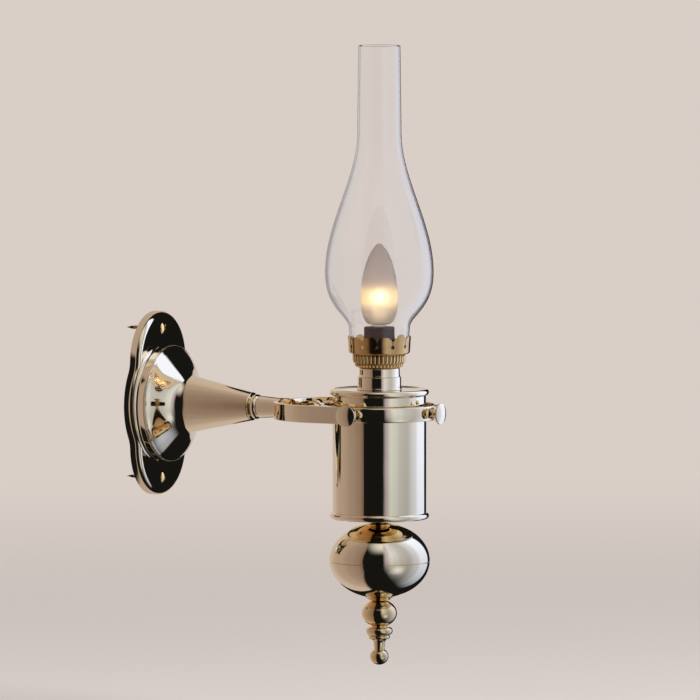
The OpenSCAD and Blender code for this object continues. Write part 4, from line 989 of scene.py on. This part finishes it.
steel = plain("plated_steel", (0.55, 0.55, 0.56), (0.74, 0.74, 0.75), 0.25, metal=1.0)
iron = plain("cast_weight", (0.10, 0.10, 0.11), (0.20, 0.20, 0.21), 0.6, metal=1.0, bump=0.5)
rubber = plain("black_rubber", (0.018, 0.018, 0.018), (0.04, 0.04, 0.04), 0.6)
plastic = plain("connector_plastic", (0.76, 0.75, 0.70), (0.85, 0.84, 0.80), 0.45)
porcelain = plain("holder_ceramic", (0.80, 0.79, 0.74), (0.88, 0.87, 0.83), 0.25)
stem = plain("stem_glass", (0.86, 0.90, 0.88), (0.92, 0.95, 0.93), 0.05)
stem.node_tree.nodes["Principled BSDF"].inputs["Transmission Weight"].default_value = 0.9
glow, tree, shader, place = start_material("filament")
heat = add(tree, "ShaderNodeTexNoise", {"Vector": place, "Scale": 500.0})
warm = ramp(tree, heat, {0.0: (1.0, 0.72, 0.34), 1.0: (1.0, 0.84, 0.52)})
feed(shader, {"Emission Color": warm, "Emission Strength": 6.0})

# %% Glowing wires: a zigzag between two leads
WIRE_R, ZIG_LOW, ZIG_HIGH, ZIG_WIDE = 0.4, 103.0, 113.0, 12.0
sideways = Vector((0.469, -0.883, 0))
zigzag = [(ZIG_WIDE * (i / 10 - 0.5), ZIG_HIGH if i % 2 else ZIG_LOW) for i in range(11)]
path = [(-1.6, 85)] + zigzag + [(1.6, 85)]
wires = draw("glowing_wires", [LAMP + (sideways * x + Vector((0, 0, z))) * MM for x, z in path], closed=False)
deselect()
wires.select_set(True)
wires.modifiers.new("Skin", "SKIN")
for spot in wires.data.skin_vertices[0].data:
    spot.radius = (WIRE_R * MM, WIRE_R * MM)
bpy.ops.object.modifier_apply(modifier="Skin")
edit(wires)
weld()
close()
seat(wires, "bulb", glow, ["bulb_filament"])

# %% Finishes for the CAD nodes
FINISH = {
    "plated_steel": steel, "cast_weight": iron, "black_rubber": rubber, "connector_plastic": plastic,
    "holder_ceramic": porcelain, "stem_glass": stem, "filament": glow, "bronze": bronze,
    "golden_brass": golden_brass, "pale_brass": pale_brass, "turned_brass": turned_brass,
    "chimney_glass": glass, "bulb_frosted": frosted, "holder_brown": brown,
}
for part in frame["record"]["subparts"]:
    mesh = frame["nodes"][part["node"]].data
    mesh.materials.clear()
    mesh.materials.append(FINISH[part["material_slot"]])

# %% [markdown]
# ## The studio
# Polished metal shows its surroundings more than itself, so the surroundings are built like a product
# photographer's set: a black tent open at the back, where the pale backdrop shines in, a long soft box on the
# right that brightens towards the wall, a card where the wall is, and soft glows below and above. Only
# reflections see these, so that from every side the glass shows the background itself, a pale floor and world.

# %% Pale floor and world
PALE, AMBIENT = (0.70, 0.62, 0.57), (0.62, 0.62, 0.64)
FLOOR_Z, FLOOR_R = -0.30, 60
deselect()
bpy.ops.mesh.primitive_circle_add(vertices=96, radius=FLOOR_R, fill_type="NGON", location=(0, LAMP.y, FLOOR_Z))
floor = bpy.context.object
floor.name = "floor"
floor.visible_glossy = False
ground, tree, shader, place = start_material("floor_pale")
feed(shader, {"Base Color": (0.78, 0.70, 0.65, 1), "Roughness": 0.9})
far_light = add(tree, "ShaderNodeEmission", {"Color": (*PALE, 1), "Strength": 1.0})
length = add(tree, "ShaderNodeVectorMath", {0: place}, operation="LENGTH")
fade = add(tree, "ShaderNodeMapRange", {"Value": length.outputs["Value"], "From Min": 0.6, "From Max": 3.0},
           interpolation_type="SMOOTHSTEP")
blend = add(tree, "ShaderNodeMixShader", {0: fade, 1: shader, 2: far_light})
show(tree, blend)
floor.data.materials.append(ground)


studio = bpy.data.worlds.new("studio")
bpy.context.scene.world = studio
studio.use_nodes = True
tree = studio.node_tree
ray = add(tree, "ShaderNodeLightPath")
direct = add(tree, "ShaderNodeMath", {0: ray.outputs["Is Camera Ray"], 1: ray.outputs["Is Transmission Ray"]},
             operation="MAXIMUM")
shown = add(tree, "ShaderNodeMath", {0: direct, 1: ray.outputs["Is Glossy Ray"]},
            operation="MAXIMUM")
feed(tree.nodes["Background"], {"Color": mix_colours(tree, shown, AMBIENT, PALE)})
print("floor at", FLOOR_Z, "m")


# %% Flags and cards that only polished surfaces see
def for_reflections(board):
    """Hides a stage object from all but reflections."""
    board.visible_camera = board.visible_diffuse = False
    board.visible_transmission = board.visible_shadow = False


def ahead(angle, distance, tilt=0.0):
    """A point seen from the lamp: an angle to the camera's right, a distance and a tilt upward."""
    w, v = radians(angle), radians(tilt)
    flat = Vector((BACK.x, BACK.y, 0)).normalized()
    return LAMP + ((flat * cos(w) + RIGHT * sin(w)) * cos(v) + Vector((0, 0, sin(v)))) * distance


def card(name, corners, colours, feather):
    """A four-cornered card with colours {share from the left: colour}. Its edges fade over the given shares."""
    deselect()
    bpy.ops.mesh.primitive_plane_add(size=1)
    board = bpy.context.object
    board.name = name
    for vertex, corner in zip(board.data.vertices, (corners[0], corners[1], corners[3], corners[2])):
        vertex.co = corner
    material = bpy.data.materials.new(name)
    material.use_nodes = True
    tree = material.node_tree
    tree.nodes.remove(tree.nodes["Principled BSDF"])
    uv = add(tree, "ShaderNodeUVMap")
    part = add(tree, "ShaderNodeSeparateXYZ", {0: uv})
    mask = None
    for output, edge, share in zip((0, 0, 1, 1), (0, 1, 0, 1), feather):
        side = add(tree, "ShaderNodeMapRange", {"Value": part.outputs[output], "From Min": edge,
                                                "From Max": abs(edge - share)}, interpolation_type="SMOOTHSTEP")
        mask = add(tree, "ShaderNodeMath", {0: mask, 1: side}, operation="MULTIPLY") if mask else side
    run = ramp(tree, part.outputs[0], colours)
    run.color_ramp.interpolation = "EASE"
    lit = add(tree, "ShaderNodeEmission", {"Color": run, "Strength": 1.0})
    clear = add(tree, "ShaderNodeBsdfTransparent")
    both = add(tree, "ShaderNodeMixShader", {0: mask, 1: clear, 2: lit})
    show(tree, both)
    board.data.materials.append(material)
    for_reflections(board)
    print("card", name, [tuple(round(x, 2) for x in corner) for corner in corners[::2]])


def upright(name, start, end, low, high, colours, feather):
    """A standing card between two points of the plan."""
    a, b = Vector((start[0], start[1], low)), Vector((end[0], end[1], low))
    rise = Vector((0, 0, high - low))
    card(name, (a, b, b + rise, a + rise), colours, feather)


BLACK = (0.009, 0.0095, 0.011)
TENT_R, TENT_LOW, TENT_HIGH = 3.0, -1.3, 1.5
DOOR_LEFT, DOOR_RIGHT = -155, 172
deselect()
bpy.ops.mesh.primitive_cylinder_add(
    vertices=120, radius=TENT_R, depth=TENT_HIGH - TENT_LOW, end_fill_type="NGON",
    location=(0, LAMP.y, (TENT_LOW + TENT_HIGH) / 2),
)
tent = bpy.context.object
tent.name = "black_tent"


def in_doorway(centre, normal):
    """Whether a face of the tent's wall lies in the opening at the back."""
    spot = Vector((centre.x, centre.y, 0))
    angle = degrees(atan2(spot.dot(RIGHT), spot.dot(Vector((BACK.x, BACK.y, 0)).normalized())))
    return abs(normal.z) < 0.5 and not DOOR_LEFT < angle < DOOR_RIGHT


pick(tent, in_doorway)
bpy.ops.mesh.delete(type="FACE")
close()
cloth, tree, shader, place = start_material("black_cloth")
tree.nodes.remove(shader)
dark = add(tree, "ShaderNodeEmission", {"Color": (*BLACK, 1), "Strength": 1.0})
show(tree, dark)
tent.data.materials.append(cloth)
for_reflections(tent)

upright("wall_card", (-1.5, 0.001), (0.176, 0.001), -1.2, 1.4,
        {0.20: (0.22, 0.155, 0.14), 0.95: (0.61, 0.56, 0.56), 0.58: (0.315, 0.25, 0.24),
         0.72: (0.36, 0.30, 0.29), 0.85: (0.465, 0.39, 0.38)}, (0.18, 0.004, 0.15, 0.1))
ALL_BLACK = {0.0: BLACK, 1.0: BLACK}
# A black card on the wall left of the plate, seen only in reflections: a painted shadow of the plate on the
# wall.
upright("painted_plate_shadow", (-0.074, 0.0005), (-0.03, 0.0005), -0.084, 0.054, ALL_BLACK, (0.1, 0.02, 0.1, 0.06))
BOX_START, BOX_END = ahead(8, 1.05), (0.31, -0.315)
upright("soft_box", BOX_START, BOX_END, -0.68, 1.9,
        {0.40: (0.57, 0.56, 0.76), 0.85: (1.03, 1.24, 1.89), 0.55: (0.75, 0.88, 1.06), 0.62: (0.70, 0.80, 1.0),
         0.69: (0.565, 0.64, 0.79), 0.74: (0.53, 0.58, 0.73), 0.80: (0.74, 0.87, 1.22)},
        (0.45, 0.03, 0.3, 0.3))
for name, spot, size, colour in (
    ("low_glow", ahead(46, 1.0, -32), 0.36, (1.0, 1.15, 1.35)),
    ("top_glow", ahead(10, 1.3, 60), 0.9, (0.85, 0.90, 1.0)),
):
    facing = (LAMP - spot).normalized()
    across = facing.cross(Vector((0, 0, 1))).normalized() * size
    along = across.cross(facing).normalized() * size
    card(name, (spot - across - along, spot + across - along, spot + across + along, spot - across + along),
         {0.0: colour, 1.0: colour}, (0.5, 0.5, 0.5, 0.5))


# %% Lamps: plain light for what isn't polished
def lamp(name, place, size, power, colour):
    """A square area light aimed at the wall lamp, left out of reflections and glass."""
    data = bpy.data.lights.new(name, "AREA")
    data.shape, data.size, data.energy, data.color = "SQUARE", size, power, colour
    light = bpy.data.objects.new(name, data)
    bpy.context.collection.objects.link(light)
    light.location = place
    light.rotation_mode = "QUATERNION"
    light.rotation_quaternion = (LAMP - place).to_track_quat("-Z", "Y")
    light.visible_glossy = light.visible_transmission = False
    print("lamp:", name, power, "W")


lamp("key", ahead(60, 1.6) + Vector((0, 0, 1.3)), 0.9, 24, (1.0, 0.98, 0.96))
lamp("fill", ahead(-70, 1.8) + Vector((0, 0, 0.8)), 1.2, 8, (1.0, 0.97, 0.94))
bpy.context.scene.view_settings.view_transform = "Standard"
